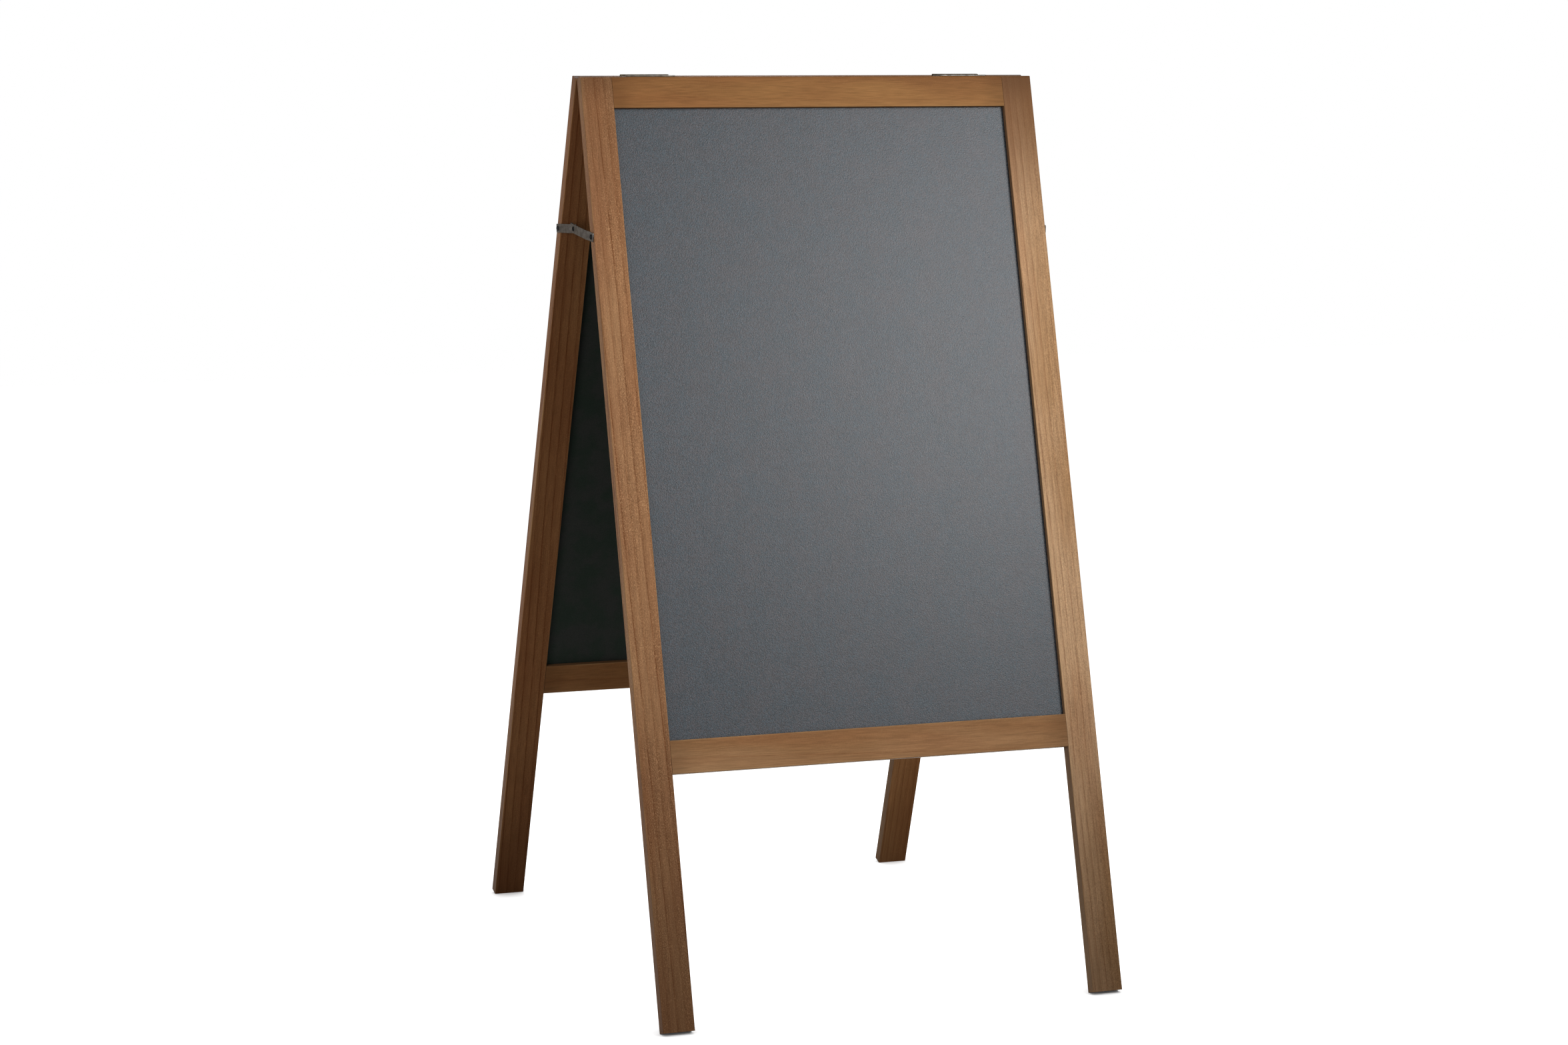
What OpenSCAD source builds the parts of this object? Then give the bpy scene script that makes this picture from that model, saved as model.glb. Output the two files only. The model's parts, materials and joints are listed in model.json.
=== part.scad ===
// Folding two-sided sidewalk chalkboard, an A-frame sign.
// Two equal framed boards hang from a pair of butt hinges on their top rails.
// A folding strip-steel stay on each side face stops them when they stand open.
// Millimetres, +Z up, the front board faces -Y, left is -X.
// The origin is on the ground, straight below the hinge pins, at mid-width.

/* [Sign] */
// Width of each framed board
sign_w = 600; // [500:5:760]
// Length of each leg, top end to foot
leg_l = 1160; // [1000:5:1300]
// Angle between the two boards when the sign stands open, degrees
spread = 34; // [26:1:42]

/* [Timber] */
// Thickness of the legs and rails
timber_t = 15; // [13:0.5:20]
// Width of each leg
leg_w = 40; // [34:1:55]
// Height of each top rail
top_rail_h = 40; // [34:1:60]
// Height of each bottom rail
bottom_rail_h = 40.5; // [34:0.5:60]
// Rounding of the long edges
edge_r = 1; // [0.5:0.25:2]
// Rounding of the outer top edge
crown_r = 4; // [2:0.5:6]
// Rounding of the inner top edge, beside the hinge barrel
valley_r = 2; // [1.5:0.25:3]

/* [Chalkboard] */
// Height of the writing surface between the rails
board_h = 775; // [600:5:820]
// Thickness of the chalkboard panel
panel_t = 3; // [2.5:0.5:5]
// Depth of the groove that holds the panel
groove_d = 6; // [4:0.5:8]
// Clearance between each face of the panel and its groove
panel_fit = 0.1; // [0.05:0.05:0.3]
// Clearance between the panel's edge and the bottom of its groove
panel_end_fit = 0.5; // [0.3:0.1:1]

/* [Dowels] */
// Diameter of the joint dowels
dowel_d = 6; // [5:0.5:8]
// Length of the joint dowels
dowel_l = 40; // [30:1:46]
// Distance between the two dowels of a joint
dowel_pitch = 16; // [12:1:18]
// Clearance round each glued dowel
dowel_fit = 0.05; // [0.02:0.01:0.1]
// Clearance past each end of a dowel
dowel_end_fit = 0.8; // [0.5:0.1:1.5]

/* [Hinges] */
// Length of each butt hinge
hinge_l = 63.5; // [50:0.5:90]
// Distance from the side of the sign to the end of a hinge
hinge_inset = 60; // [54:1:90]
// Thickness of the hinge leaves and of the knuckle wall
leaf_t = 1.2; // [1:0.1:1.6]
// Height of the pin's centre above the upper face of the leaves
leaf_rise = 0.3; // [0.2:0.05:0.6]
// Distance from the outer face of the timber to the edge of a leaf
leaf_setback = 2; // [1:0.5:4]
// Corner radius of the leaves
leaf_corner_r = 2; // [1:0.5:3]
// Diameter of the hinge pin
pin_d = 2.5; // [2:0.25:3.5]
// Running clearance round the hinge pin
pin_fit = 0.05; // [0.03:0.01:0.1]
// Diameter of the pin's button ends
pin_button_d = 4.2; // [3.8:0.2:5]
// Height of the pin's button ends
pin_button_h = 0.8; // [0.5:0.1:1.2]
// Clearance between neighbouring knuckles
knuckle_fit = 0.3; // [0.2:0.05:0.5]
// Clearance between the hinge barrel and the timber
barrel_clear = 0.45; // [0.3:0.05:0.8]
// Distance from the end of a leaf to its outer screws
leaf_screw_end = 8; // [6:0.5:12]

/* [Hinge screws] */
// Shank diameter of the hinge screws
hinge_screw_d = 3; // [2.5:0.25:3.5]
// Head diameter of the hinge screws
hinge_screw_head_d = 5.5; // [5:0.25:6.5]
// Length of the hinge screws
hinge_screw_l = 14; // [10:1:18]
// Width of the cross slots in the screw heads
slot_w = 0.8; // [0.6:0.1:1]
// Depth of the cross slots in the screw heads
slot_d = 0.6; // [0.4:0.1:0.8]
// Length of the cross slots as a share of the head's diameter
slot_share = 0.62; // [0.5:0.02:0.7]
// Clearance round a screw's head
head_fit = 0.1; // [0.05:0.05:0.2]
// Clearance round a screw's shank in the timber
thread_fit = 0.05; // [0.03:0.01:0.1]
// Clearance past the end of a screw
screw_end_fit = 0.5; // [0.3:0.1:1]

/* [Stays] */
// Distance of the end pivots below the top end of the legs
stay_drop = 198.5; // [160:0.5:260]
// Height of the centre rivet above the end pivots when the sign stands open
stay_rise = 4.6; // [4:0.2:8]
// Width of the stay links
link_w = 11; // [10:0.5:14]
// Thickness of the stay links
link_t = 1.2; // [1:0.1:1.6]
// Distance from the centre of a link's end hole to its square end
link_end = 6; // [5:0.5:7]
// Corner radius of the stay links
link_corner_r = 1.5; // [0.5:0.5:3]
// Clearance between a link and what it slides over
link_fit = 0.25; // [0.2:0.05:0.4]
// Length of the front link's flat tab past its pivot
tab_l = 8.5; // [7.5:0.5:12]
// Length of the joggle that carries the front link outwards
joggle_l = 6.5; // [5:0.5:10]
// Diameter of the centre rivet
rivet_d = 4; // [3:0.25:5]
// Head diameter of the centre rivet
rivet_head_d = 6; // [5.5:0.25:7]
// Head height of the centre rivet
rivet_head_h = 1; // [0.8:0.1:1.5]
// Flare diameter at the rivet's flush inner end
rivet_flare_d = 5.6; // [5.2:0.2:7]
// Clearance between the rivet and the link that it is set in
rivet_fit = 0.05; // [0.03:0.01:0.1]
// Distance from the front link's square end to the stop lug
lug_gap = 1.5; // [1:0.5:3]
// Length of the stop lug
lug_l = 4; // [3:0.5:6]
// Thickness of the stop lug
lug_t = 1; // [0.8:0.1:1.4]
// Clearance between the stop lug and the rear link's edge
lug_fit = 0.3; // [0.2:0.05:0.5]

/* [Stay screws] */
// Shank diameter of the stay screws
stay_screw_d = 3.5; // [3:0.25:4]
// Head diameter of the stay screws
stay_screw_head_d = 6; // [5.5:0.25:7]
// Head height of the stay screws
stay_screw_head_h = 1.5; // [1.2:0.1:2]
// Length of the stay screws in the timber
stay_screw_l = 20; // [16:1:26]
// Running clearance between a stay screw and its link
pivot_fit = 0.08; // [0.04:0.01:0.1]

/* [Hidden] */
$fn = 48;
// How far solids that join run into each other
eps = 0.01;
// How far a cut runs past the face that it opens
over = 1;

front = -1;
rear = 1;
left = -1;
right = 1;

wood_colour = "#96704f";
board_colour = "#4a5054";
dowel_colour = "#c8a87c";
steel_colour = "#8a8780";
screw_colour = "#2b2a28";

// Angle of each board to the upright
lean_a = spread / 2;
// Height of the pin's centre above the top ends of the timber
pin_h = leaf_t + leaf_rise;
barrel_r = pin_d / 2 + pin_fit + leaf_t;
// Half the gap between the folded boards: the rounded timber edge just clears the barrel
half_gap = sqrt(pow(barrel_r + barrel_clear + valley_r, 2) - pow(pin_h + valley_r, 2)) - valley_r;
// Height of the pin's centre above the ground, with the inner corners of the feet standing on it
pin_z = (leg_l + pin_h) * cos(lean_a) - half_gap * sin(lean_a);

rail_l = sign_w - 2 * leg_w;
bottom_rail_top = top_rail_h + board_h;
groove_w = panel_t + 2 * panel_fit;
panel_lap = groove_d - panel_end_fit;
bore_l = dowel_l / 2 + dowel_end_fit;
top_dowel_mid = (top_rail_h - groove_d) / 2;
bottom_dowel_mid = bottom_rail_top + (bottom_rail_h + groove_d) / 2;
dowel_depths = [
    top_dowel_mid - dowel_pitch / 2,
    top_dowel_mid + dowel_pitch / 2,
    bottom_dowel_mid - dowel_pitch / 2,
    bottom_dowel_mid + dowel_pitch / 2,
];

// Middle of the timber's thickness, measured outwards from the hinge plane
mid_y = half_gap + timber_t / 2;
leaf_w = half_gap + timber_t - leaf_setback;
knuckles = 5;
knuckle_l = (hinge_l - (knuckles - 1) * knuckle_fit) / knuckles;
leaf_screws = [leaf_screw_end, hinge_l / 2, hinge_l - leaf_screw_end];
hinge_x = sign_w / 2 - hinge_inset - hinge_l / 2;

// End pivots of the stays, in the open sign
pivot_r = sqrt(pow(mid_y, 2) + pow(stay_drop + pin_h, 2));
pivot_a = lean_a + atan(mid_y / (stay_drop + pin_h));
pivot_y = pivot_r * sin(pivot_a);
pivot_z = pin_z - pivot_r * cos(pivot_a);
link_l = sqrt(pow(pivot_y, 2) + pow(stay_rise, 2));
link_a = atan(stay_rise / pivot_y);

// Distances outwards from the side of the legs
inner_face = link_fit;
outer_face = inner_face + link_t + link_fit;
stack = outer_face + link_t;
// The rivet's two halves meet between the links, each a third of the gap from its own link
rivet_reach = link_fit / 3;
rivet_flare_h = link_t / 2;
// The stay screws' heads stand half a clearance off the links
head_face = inner_face + link_t + link_fit / 2;
// Distance from the rivet to the near end of the stop lug
lug_start = link_end + lug_gap;
// The lug's underside clears the upper edge of the rear link, which falls away at twice the link's angle
lug_q = link_w / 2 / cos(2 * link_a) - lug_start * tan(2 * link_a) + lug_fit;

// The points of one corner of an outline: two where it is rounded, one where it is sharp
function corner_points(p, back, ahead, r) = r > 0 ? [p + r * back, p + r * ahead] : [p];

// Rectangle from the origin with its own radius at each corner, anticlockwise from the origin
module rounded_box(a, b, r) {
    corners = [[0, 0], [a, 0], [a, b], [0, b]];
    ahead = [[1, 0], [0, 1], [-1, 0], [0, -1]];
    polygon([for (i = [0 : 3]) each corner_points(corners[i], ahead[(i + 1) % 4], ahead[i], r[i])]);
    for (i = [0 : 3])
        if (r[i] > 0)
            translate(corners[i] + r[i] * (ahead[i] + ahead[(i + 1) % 4]))
                circle(r = r[i]);
}

// Extrudes an outline drawn in (Y, Z) along X, centred
module along_x(l) {
    translate([-l / 2, 0, 0])
        rotate([90, 0, 90])
            linear_extrude(height = l)
                children();
}

// A round bar or bore along X, centred
module x_rod(l, r) {
    rotate([0, 90, 0])
        cylinder(h = l, r = r, center = true);
}

// Swings a board that hangs straight down from the pin out to its side of the open sign
module on_board(side) {
    translate([0, 0, pin_z])
        mirror([0, side == front ? 1 : 0, 0])
            rotate([lean_a, 0, 0])
                children();
}

// Places a piece by its depth below the timber's top end
module at_depth(v) {
    translate([0, 0, -pin_h - v])
        children();
}

// The bores of the dowels that cross the joint at one side
module dowel_bores(side) {
    for (v = dowel_depths)
        at_depth(v)
            translate([side * rail_l / 2, mid_y, 0])
                x_rod(2 * bore_l, dowel_d / 2 + dowel_fit);
}

module dowel_set() {
    color(dowel_colour)
        for (side = [left, right], v = dowel_depths)
            at_depth(v)
                translate([side * rail_l / 2, mid_y, 0])
                    x_rod(dowel_l, dowel_d / 2);
}

// Side outline of a board's timber, with the outer and inner top edges rounded
module top_outline(h, low_r) {
    translate([half_gap, -pin_h - h])
        rounded_box(timber_t, h, [low_r, low_r, crown_r, valley_r]);
}

module leg(side) {
    color(wood_colour)
        difference() {
            intersection() {
                translate([side * (sign_w - leg_w) / 2 - leg_w / 2, half_gap, -pin_h - leg_l])
                    linear_extrude(height = leg_l)
                        rounded_box(leg_w, timber_t, [edge_r, edge_r, edge_r, edge_r]);
                along_x(sign_w + 2 * over)
                    top_outline(leg_l, 0);
            }
            panel_groove();
            dowel_bores(side);
            stay_screw_bore(side);
        }
}

// The groove that runs round the inside of the frame
module panel_groove() {
    w = rail_l + 2 * groove_d;
    h = board_h + 2 * groove_d;
    translate([-w / 2, mid_y - groove_w / 2, -pin_h - top_rail_h + groove_d - h])
        cube([w, groove_w, h]);
}

module stay_screw_bore(side) {
    at_depth(stay_drop)
        translate([side * sign_w / 2, mid_y, 0])
            x_rod(2 * (stay_screw_l + screw_end_fit), stay_screw_d / 2 + thread_fit);
}

module hinge_screw_bores() {
    depth = hinge_screw_l - leaf_t + screw_end_fit;
    for (side = [left, right], x = leaf_screws)
        translate([side * hinge_x + x - hinge_l / 2, mid_y, -pin_h - depth])
            cylinder(h = depth + over, r = hinge_screw_d / 2 + thread_fit);
}

module top_rail() {
    color(wood_colour)
        difference() {
            along_x(rail_l)
                top_outline(top_rail_h, edge_r);
            panel_groove();
            dowel_bores(left);
            dowel_bores(right);
            hinge_screw_bores();
        }
}

module bottom_rail() {
    color(wood_colour)
        difference() {
            along_x(rail_l)
                translate([half_gap, -pin_h - bottom_rail_top - bottom_rail_h])
                    rounded_box(timber_t, bottom_rail_h, [edge_r, edge_r, edge_r, edge_r]);
            panel_groove();
            dowel_bores(left);
            dowel_bores(right);
        }
}

module chalkboard() {
    w = rail_l + 2 * panel_lap;
    h = board_h + 2 * panel_lap;
    color(board_colour)
        translate([-w / 2, mid_y - panel_t / 2, -pin_h - top_rail_h + panel_lap - h])
            cube([w, panel_t, h]);
}

// Hinge leaf lying on the top rail; its knuckles are the even ones from first
module hinge_leaf(side, first) {
    bare = barrel_r + knuckle_fit;
    color(steel_colour)
        translate([side * hinge_x, 0, 0])
            difference() {
                union() {
                    translate([-hinge_l / 2, bare, -pin_h])
                        linear_extrude(height = leaf_t)
                            rounded_box(hinge_l, leaf_w - bare, [0, 0, leaf_corner_r, leaf_corner_r]);
                    for (k = [first : 2 : knuckles - 1])
                        translate([(k - (knuckles - 1) / 2) * (knuckle_l + knuckle_fit), 0, 0]) {
                            x_rod(knuckle_l, barrel_r);
                            translate([-knuckle_l / 2, 0, -pin_h])
                                cube([knuckle_l, bare + eps, leaf_t]);
                        }
                }
                x_rod(hinge_l + 2 * over, pin_d / 2 + pin_fit);
                for (x = leaf_screws)
                    translate([x - hinge_l / 2, mid_y, -pin_h])
                        cylinder(
                            h = leaf_t,
                            r1 = hinge_screw_d / 2 + head_fit,
                            r2 = hinge_screw_head_d / 2 + head_fit
                        );
            }
}

module hinge_pin(side) {
    button_x = (hinge_l + knuckle_fit + pin_button_h) / 2;
    color(steel_colour)
        translate([side * hinge_x, 0, pin_z]) {
            x_rod(2 * button_x, pin_d / 2);
            for (end = [left, right])
                translate([end * button_x, 0, 0])
                    x_rod(pin_button_h, pin_button_d / 2);
        }
}

// Cross slots cut into a screw head whose top is at z = 0
module cross_slots(head_d) {
    reach = slot_share * head_d;
    for (a = [0, 90])
        rotate([0, 0, a])
            translate([-reach / 2, -slot_w / 2, -slot_d])
                cube([reach, slot_w, slot_d + over]);
}

module hinge_screw() {
    difference() {
        union() {
            translate([0, 0, -leaf_t])
                cylinder(h = leaf_t, r1 = hinge_screw_d / 2, r2 = hinge_screw_head_d / 2);
            translate([0, 0, -hinge_screw_l])
                cylinder(h = hinge_screw_l - leaf_t + eps, r = hinge_screw_d / 2);
        }
        cross_slots(hinge_screw_head_d);
    }
}

module hinge_screw_set() {
    color(steel_colour)
        for (side = [left, right], x = leaf_screws)
            translate([side * hinge_x + x - hinge_l / 2, mid_y, -pin_h + leaf_t])
                hinge_screw();
}

// Puts a link drawn outwards along +X, towards the rivet along +Y, on its end pivot
module on_stay(x_side, y_side) {
    mirror([x_side == left ? 1 : 0, 0, 0])
        mirror([0, y_side == rear ? 1 : 0, 0])
            translate([sign_w / 2, -pivot_y, pivot_z])
                rotate([link_a, 0, 0])
                    children();
}

// Outline of a link with square ends, from its pivot at the origin to the rivet
module link_outline() {
    translate([-link_end, -link_w / 2])
        rounded_box(link_l + 2 * link_end, link_w, [for (i = [0 : 3]) link_corner_r]);
}

// Extrudes an outline drawn in (Y, Z) outwards along X between two distances
module outwards(x0, x1) {
    translate([x0, 0, 0])
        rotate([90, 0, 90])
            linear_extrude(height = x1 - x0)
                children();
}

// The front link's bent thickness, drawn in (X, Y)
module joggle_profile() {
    near = -link_end - over;
    far = link_l + link_end + over;
    polygon([
        [inner_face, near], [inner_face + link_t, near],
        [inner_face + link_t, tab_l], [stack, tab_l + joggle_l],
        [stack, far], [outer_face, far],
        [outer_face, tab_l + joggle_l], [inner_face, tab_l],
    ]);
}

// A finger of the front link runs past the rivet, and the stop lug bends in from it over the rear link
module stop_lug() {
    y0 = link_l + lug_start;
    y1 = y0 + lug_l;
    top = lug_q + lug_t;
    under = lug_q - 2 * lug_t;
    outwards(outer_face, stack)
        polygon([
            [link_l, 0], [y0, under], [y1, under],
            [y1, top], [y0 - lug_t, top], [link_l, link_w / 2],
        ]);
    translate([inner_face + link_fit, y0, lug_q])
        cube([stack - inner_face - link_fit, lug_l, lug_t]);
}

module front_link() {
    color(steel_colour)
        difference() {
            union() {
                intersection() {
                    outwards(0, stack + over)
                        link_outline();
                    translate([0, 0, -link_w])
                        linear_extrude(height = 2 * link_w)
                            joggle_profile();
                }
                stop_lug();
            }
            x_rod(2 * (stack + over), stay_screw_d / 2 + pivot_fit);
            translate([0, link_l, 0])
                x_rod(2 * (stack + over), rivet_d / 2 + rivet_fit);
        }
}

module rear_link() {
    color(steel_colour)
        difference() {
            outwards(inner_face, inner_face + link_t)
                link_outline();
            x_rod(2 * (stack + over), stay_screw_d / 2 + pivot_fit);
            translate([0, link_l, 0])
                rivet_tail_form(rivet_fit);
        }
}

// The rivet's inner end, flared flush with the rear link; grow is the clearance round it
module rivet_tail_form(grow) {
    translate([inner_face, 0, 0])
        rotate([0, 90, 0]) {
            cylinder(h = link_t + rivet_reach, r = rivet_d / 2 + grow);
            cylinder(h = rivet_flare_h, r1 = rivet_flare_d / 2 + grow, r2 = rivet_d / 2 + grow);
        }
}

module rivet_tail() {
    color(screw_colour)
        translate([0, link_l, 0])
            rivet_tail_form(0);
}

module rivet_head() {
    shank = link_t + rivet_reach;
    color(screw_colour)
        translate([stack - shank, link_l, 0])
            rotate([0, 90, 0]) {
                cylinder(h = shank + eps, r = rivet_d / 2);
                translate([0, 0, shank])
                    domed_head(rivet_head_d / 2, rivet_head_h);
            }
}

// A low dome standing on z = 0, with a straight rim a third of its height
module domed_head(r, h) {
    rim = h / 3;
    ball_r = (r * r + pow(h - rim, 2)) / (2 * (h - rim));
    cylinder(h = rim, r = r);
    intersection() {
        translate([0, 0, rim - eps])
            cylinder(h = h, r = r);
        translate([0, 0, h - ball_r])
            rotate_extrude()
                intersection() {
                    circle(r = ball_r, $fn = 180);
                    square(ball_r + over);
                }
    }
}

// A pan-head screw along +Z whose head stands on z = 0
module stay_screw() {
    shank = stay_screw_l + head_face;
    difference() {
        union() {
            domed_head(stay_screw_head_d / 2, stay_screw_head_h);
            translate([0, 0, -shank])
                cylinder(h = shank + eps, r = stay_screw_d / 2);
        }
        translate([0, 0, stay_screw_head_h])
            cross_slots(stay_screw_head_d);
    }
}

module stay_screw_pair() {
    color(screw_colour)
        for (side = [left, right])
            mirror([side == left ? 1 : 0, 0, 0])
                at_depth(stay_drop)
                    translate([sign_w / 2 + head_face, mid_y, 0])
                        rotate([0, 90, 0])
                            stay_screw();
}

module front_left_leg() {
    on_board(front) leg(left);
}

module front_right_leg() {
    on_board(front) leg(right);
}

module front_top_rail() {
    on_board(front) top_rail();
}

module front_bottom_rail() {
    on_board(front) bottom_rail();
}

module front_chalkboard() {
    on_board(front) chalkboard();
}

module front_dowels() {
    on_board(front) dowel_set();
}

module rear_left_leg() {
    on_board(rear) leg(left);
}

module rear_right_leg() {
    on_board(rear) leg(right);
}

module rear_top_rail() {
    on_board(rear) top_rail();
}

module rear_bottom_rail() {
    on_board(rear) bottom_rail();
}

module rear_chalkboard() {
    on_board(rear) chalkboard();
}

module rear_dowels() {
    on_board(rear) dowel_set();
}

module left_hinge_front_leaf() {
    on_board(front) hinge_leaf(left, 0);
}

module left_hinge_rear_leaf() {
    on_board(rear) hinge_leaf(left, 1);
}

module left_hinge_pin() {
    hinge_pin(left);
}

module right_hinge_front_leaf() {
    on_board(front) hinge_leaf(right, 0);
}

module right_hinge_rear_leaf() {
    on_board(rear) hinge_leaf(right, 1);
}

module right_hinge_pin() {
    hinge_pin(right);
}

module front_hinge_screws() {
    on_board(front) hinge_screw_set();
}

module rear_hinge_screws() {
    on_board(rear) hinge_screw_set();
}

module left_stay_front_link() {
    on_stay(left, front) front_link();
}

module left_stay_rear_link() {
    on_stay(left, rear) rear_link();
}

module left_stay_rivet_head() {
    on_stay(left, front) rivet_head();
}

module left_stay_rivet_tail() {
    on_stay(left, rear) rivet_tail();
}

module right_stay_front_link() {
    on_stay(right, front) front_link();
}

module right_stay_rear_link() {
    on_stay(right, rear) rear_link();
}

module right_stay_rivet_head() {
    on_stay(right, front) rivet_head();
}

module right_stay_rivet_tail() {
    on_stay(right, rear) rivet_tail();
}

module front_stay_screws() {
    on_board(front) stay_screw_pair();
}

module rear_stay_screws() {
    on_board(rear) stay_screw_pair();
}

front_left_leg();
front_right_leg();
front_top_rail();
front_bottom_rail();
front_chalkboard();
front_dowels();
rear_left_leg();
rear_right_leg();
rear_top_rail();
rear_bottom_rail();
rear_chalkboard();
rear_dowels();
left_hinge_front_leaf();
left_hinge_rear_leaf();
left_hinge_pin();
right_hinge_front_leaf();
right_hinge_rear_leaf();
right_hinge_pin();
front_hinge_screws();
rear_hinge_screws();
left_stay_front_link();
left_stay_rear_link();
left_stay_rivet_head();
left_stay_rivet_tail();
right_stay_front_link();
right_stay_rear_link();
right_stay_rivet_head();
right_stay_rivet_tail();
front_stay_screws();
rear_stay_screws();
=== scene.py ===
"""Dresses a folding two-sided sidewalk chalkboard and stands it in a plain white studio.

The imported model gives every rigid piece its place. This script gives the timber its grain, the boards
their chalkboard paint and the fittings their plating. It also models the pieces that the plain solids
simplify: the writing panels, the fluted dowels, the threaded screws and the softened strip-steel fittings.
"""

import json
import logging
import math
from dataclasses import dataclass
from enum import Enum
from typing import ClassVar

import bpy
import numpy as np
from mathutils import Euler, Matrix, Vector

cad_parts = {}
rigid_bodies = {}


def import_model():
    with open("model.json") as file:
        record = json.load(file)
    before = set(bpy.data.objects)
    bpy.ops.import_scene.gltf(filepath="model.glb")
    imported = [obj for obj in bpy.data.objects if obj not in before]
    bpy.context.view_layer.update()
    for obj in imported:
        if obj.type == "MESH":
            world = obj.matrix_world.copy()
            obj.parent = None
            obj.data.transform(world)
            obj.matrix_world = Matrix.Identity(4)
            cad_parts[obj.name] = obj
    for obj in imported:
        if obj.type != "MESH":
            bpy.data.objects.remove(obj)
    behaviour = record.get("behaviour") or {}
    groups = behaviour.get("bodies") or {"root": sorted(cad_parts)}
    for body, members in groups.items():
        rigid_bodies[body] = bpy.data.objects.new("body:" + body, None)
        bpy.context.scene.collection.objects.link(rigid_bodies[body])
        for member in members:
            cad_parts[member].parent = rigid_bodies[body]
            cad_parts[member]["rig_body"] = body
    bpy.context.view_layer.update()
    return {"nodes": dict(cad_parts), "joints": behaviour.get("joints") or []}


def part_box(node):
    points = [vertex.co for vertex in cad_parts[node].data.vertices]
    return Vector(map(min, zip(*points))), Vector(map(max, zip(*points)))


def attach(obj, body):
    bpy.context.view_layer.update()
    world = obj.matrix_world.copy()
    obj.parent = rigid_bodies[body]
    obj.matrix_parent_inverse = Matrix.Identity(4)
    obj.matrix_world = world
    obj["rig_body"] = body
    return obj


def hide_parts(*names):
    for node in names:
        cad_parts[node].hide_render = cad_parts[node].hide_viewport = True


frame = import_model()

MM = 0.001
log = logging.getLogger("chalkboard")

Socket = bpy.types.NodeSocket
Point = tuple[float, float, float]
Colour = tuple[float, float, float, float]
Input = float | str | Point | Colour | Vector | Euler | Socket


class Way(Enum):
    """A way that a piece may face, whose value is its sign along an axis."""

    @property
    def word(self) -> str:
        """The way's name as the nodes spell it."""
        return self.name.lower()


class Side(Way):
    """The two boards of the sign, by the way that they face along Y."""

    FRONT = -1
    REAR = 1


class Hand(Way):
    """Left and right, seen from the front, by the way that they face along X."""

    LEFT = -1
    RIGHT = 1


class Drive(Enum):
    """How a screw's head meets what it holds."""

    COUNTERSUNK = "countersunk"
    PAN = "pan"


class Step(Enum):
    """The steps that a finish is worked out in, by a node's type, inputs in order, output and settings."""

    PLUS = ("ShaderNodeMath", (0, 1), 0, {"operation": "ADD"})
    MINUS = ("ShaderNodeMath", (0, 1), 0, {"operation": "SUBTRACT"})
    TIMES = ("ShaderNodeMath", (0, 1), 0, {"operation": "MULTIPLY"})
    OVER = ("ShaderNodeMath", (0, 1), 0, {"operation": "DIVIDE"})
    LARGER = ("ShaderNodeMath", (0, 1), 0, {"operation": "MAXIMUM"})
    ROOT = ("ShaderNodeMath", (0,), 0, {"operation": "SQRT"})
    WHOLE = ("ShaderNodeMath", (0,), 0, {"operation": "FLOOR"})
    FRACTION = ("ShaderNodeMath", (0,), 0, {"operation": "FRACT"})
    UNSIGNED = ("ShaderNodeMath", (0,), 0, {"operation": "ABSOLUTE"})
    RAMP = ("ShaderNodeMapRange", (0, 1, 2, 3, 4), "Result", {"interpolation_type": "SMOOTHSTEP"})
    BLEND = ("ShaderNodeMix", (0, 6, 7), 2, {"data_type": "RGBA"})
    TINT = ("ShaderNodeMix", (0, 6, 7), 2, {"data_type": "RGBA", "blend_type": "MULTIPLY"})
    BUMP = ("ShaderNodeBump", ("Height", "Distance", "Strength"), "Normal", {})
    PLACE = ("ShaderNodeMapping", ("Vector", "Location", "Rotation"), 0, {"vector_type": "TEXTURE"})
    STRETCH = ("ShaderNodeMapping", ("Vector", "Location", "Scale"), 0, {})
    NOISE = ("ShaderNodeTexNoise", ("Vector", "Scale", "Detail", "Roughness"), "Fac", {})
    CURLS = ("ShaderNodeTexNoise", ("Vector", "Scale", "Detail"), "Color", {})
    CHANCE = ("ShaderNodeTexWhiteNoise", ("W",), "Value", {"noise_dimensions": "1D"})
    SHIFT = ("ShaderNodeVectorMath", (0, 1), "Vector", {"operation": "ADD"})
    WEIGH = ("ShaderNodeVectorMath", (0, 1), "Vector", {"operation": "MULTIPLY"})
    ALONG = ("ShaderNodeVectorMath", (0, 1), "Value", {"operation": "DOT_PRODUCT"})


def linear_colour(code: str) -> Colour:
    """Turns an sRGB hex colour into linear light.

    Args:
        code: The colour as #RRGGBB.

    Returns:
        Red, green and blue in linear light, and an alpha of 1.
    """
    channels = [int(code[i:i + 2], 16) / 255 for i in (1, 3, 5)]
    light = [c / 12.92 if c <= 0.04045 else ((c + 0.055) / 1.055) ** 2.4 for c in channels]
    return (light[0], light[1], light[2], 1.0)


def add_node(tree: bpy.types.NodeTree, kind: str, inputs: dict[int | str, Input] | None = None,
             **settings: str | int) -> bpy.types.Node:
    """Adds one shader node.

    Args:
        tree: The tree that the node goes into.
        kind: The node's type name.
        inputs: For each input, by name or number, its constant, hex colour or the output that feeds it.
        **settings: The node's own properties.

    Returns:
        The new node.
    """
    node = tree.nodes.new(kind)
    for name, value in settings.items():
        setattr(node, name, value)
    for key, value in (inputs or {}).items():
        if isinstance(value, Socket):
            tree.links.new(value, node.inputs[key])
        else:
            node.inputs[key].default_value = linear_colour(value) if isinstance(value, str) else value
    return node


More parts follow.
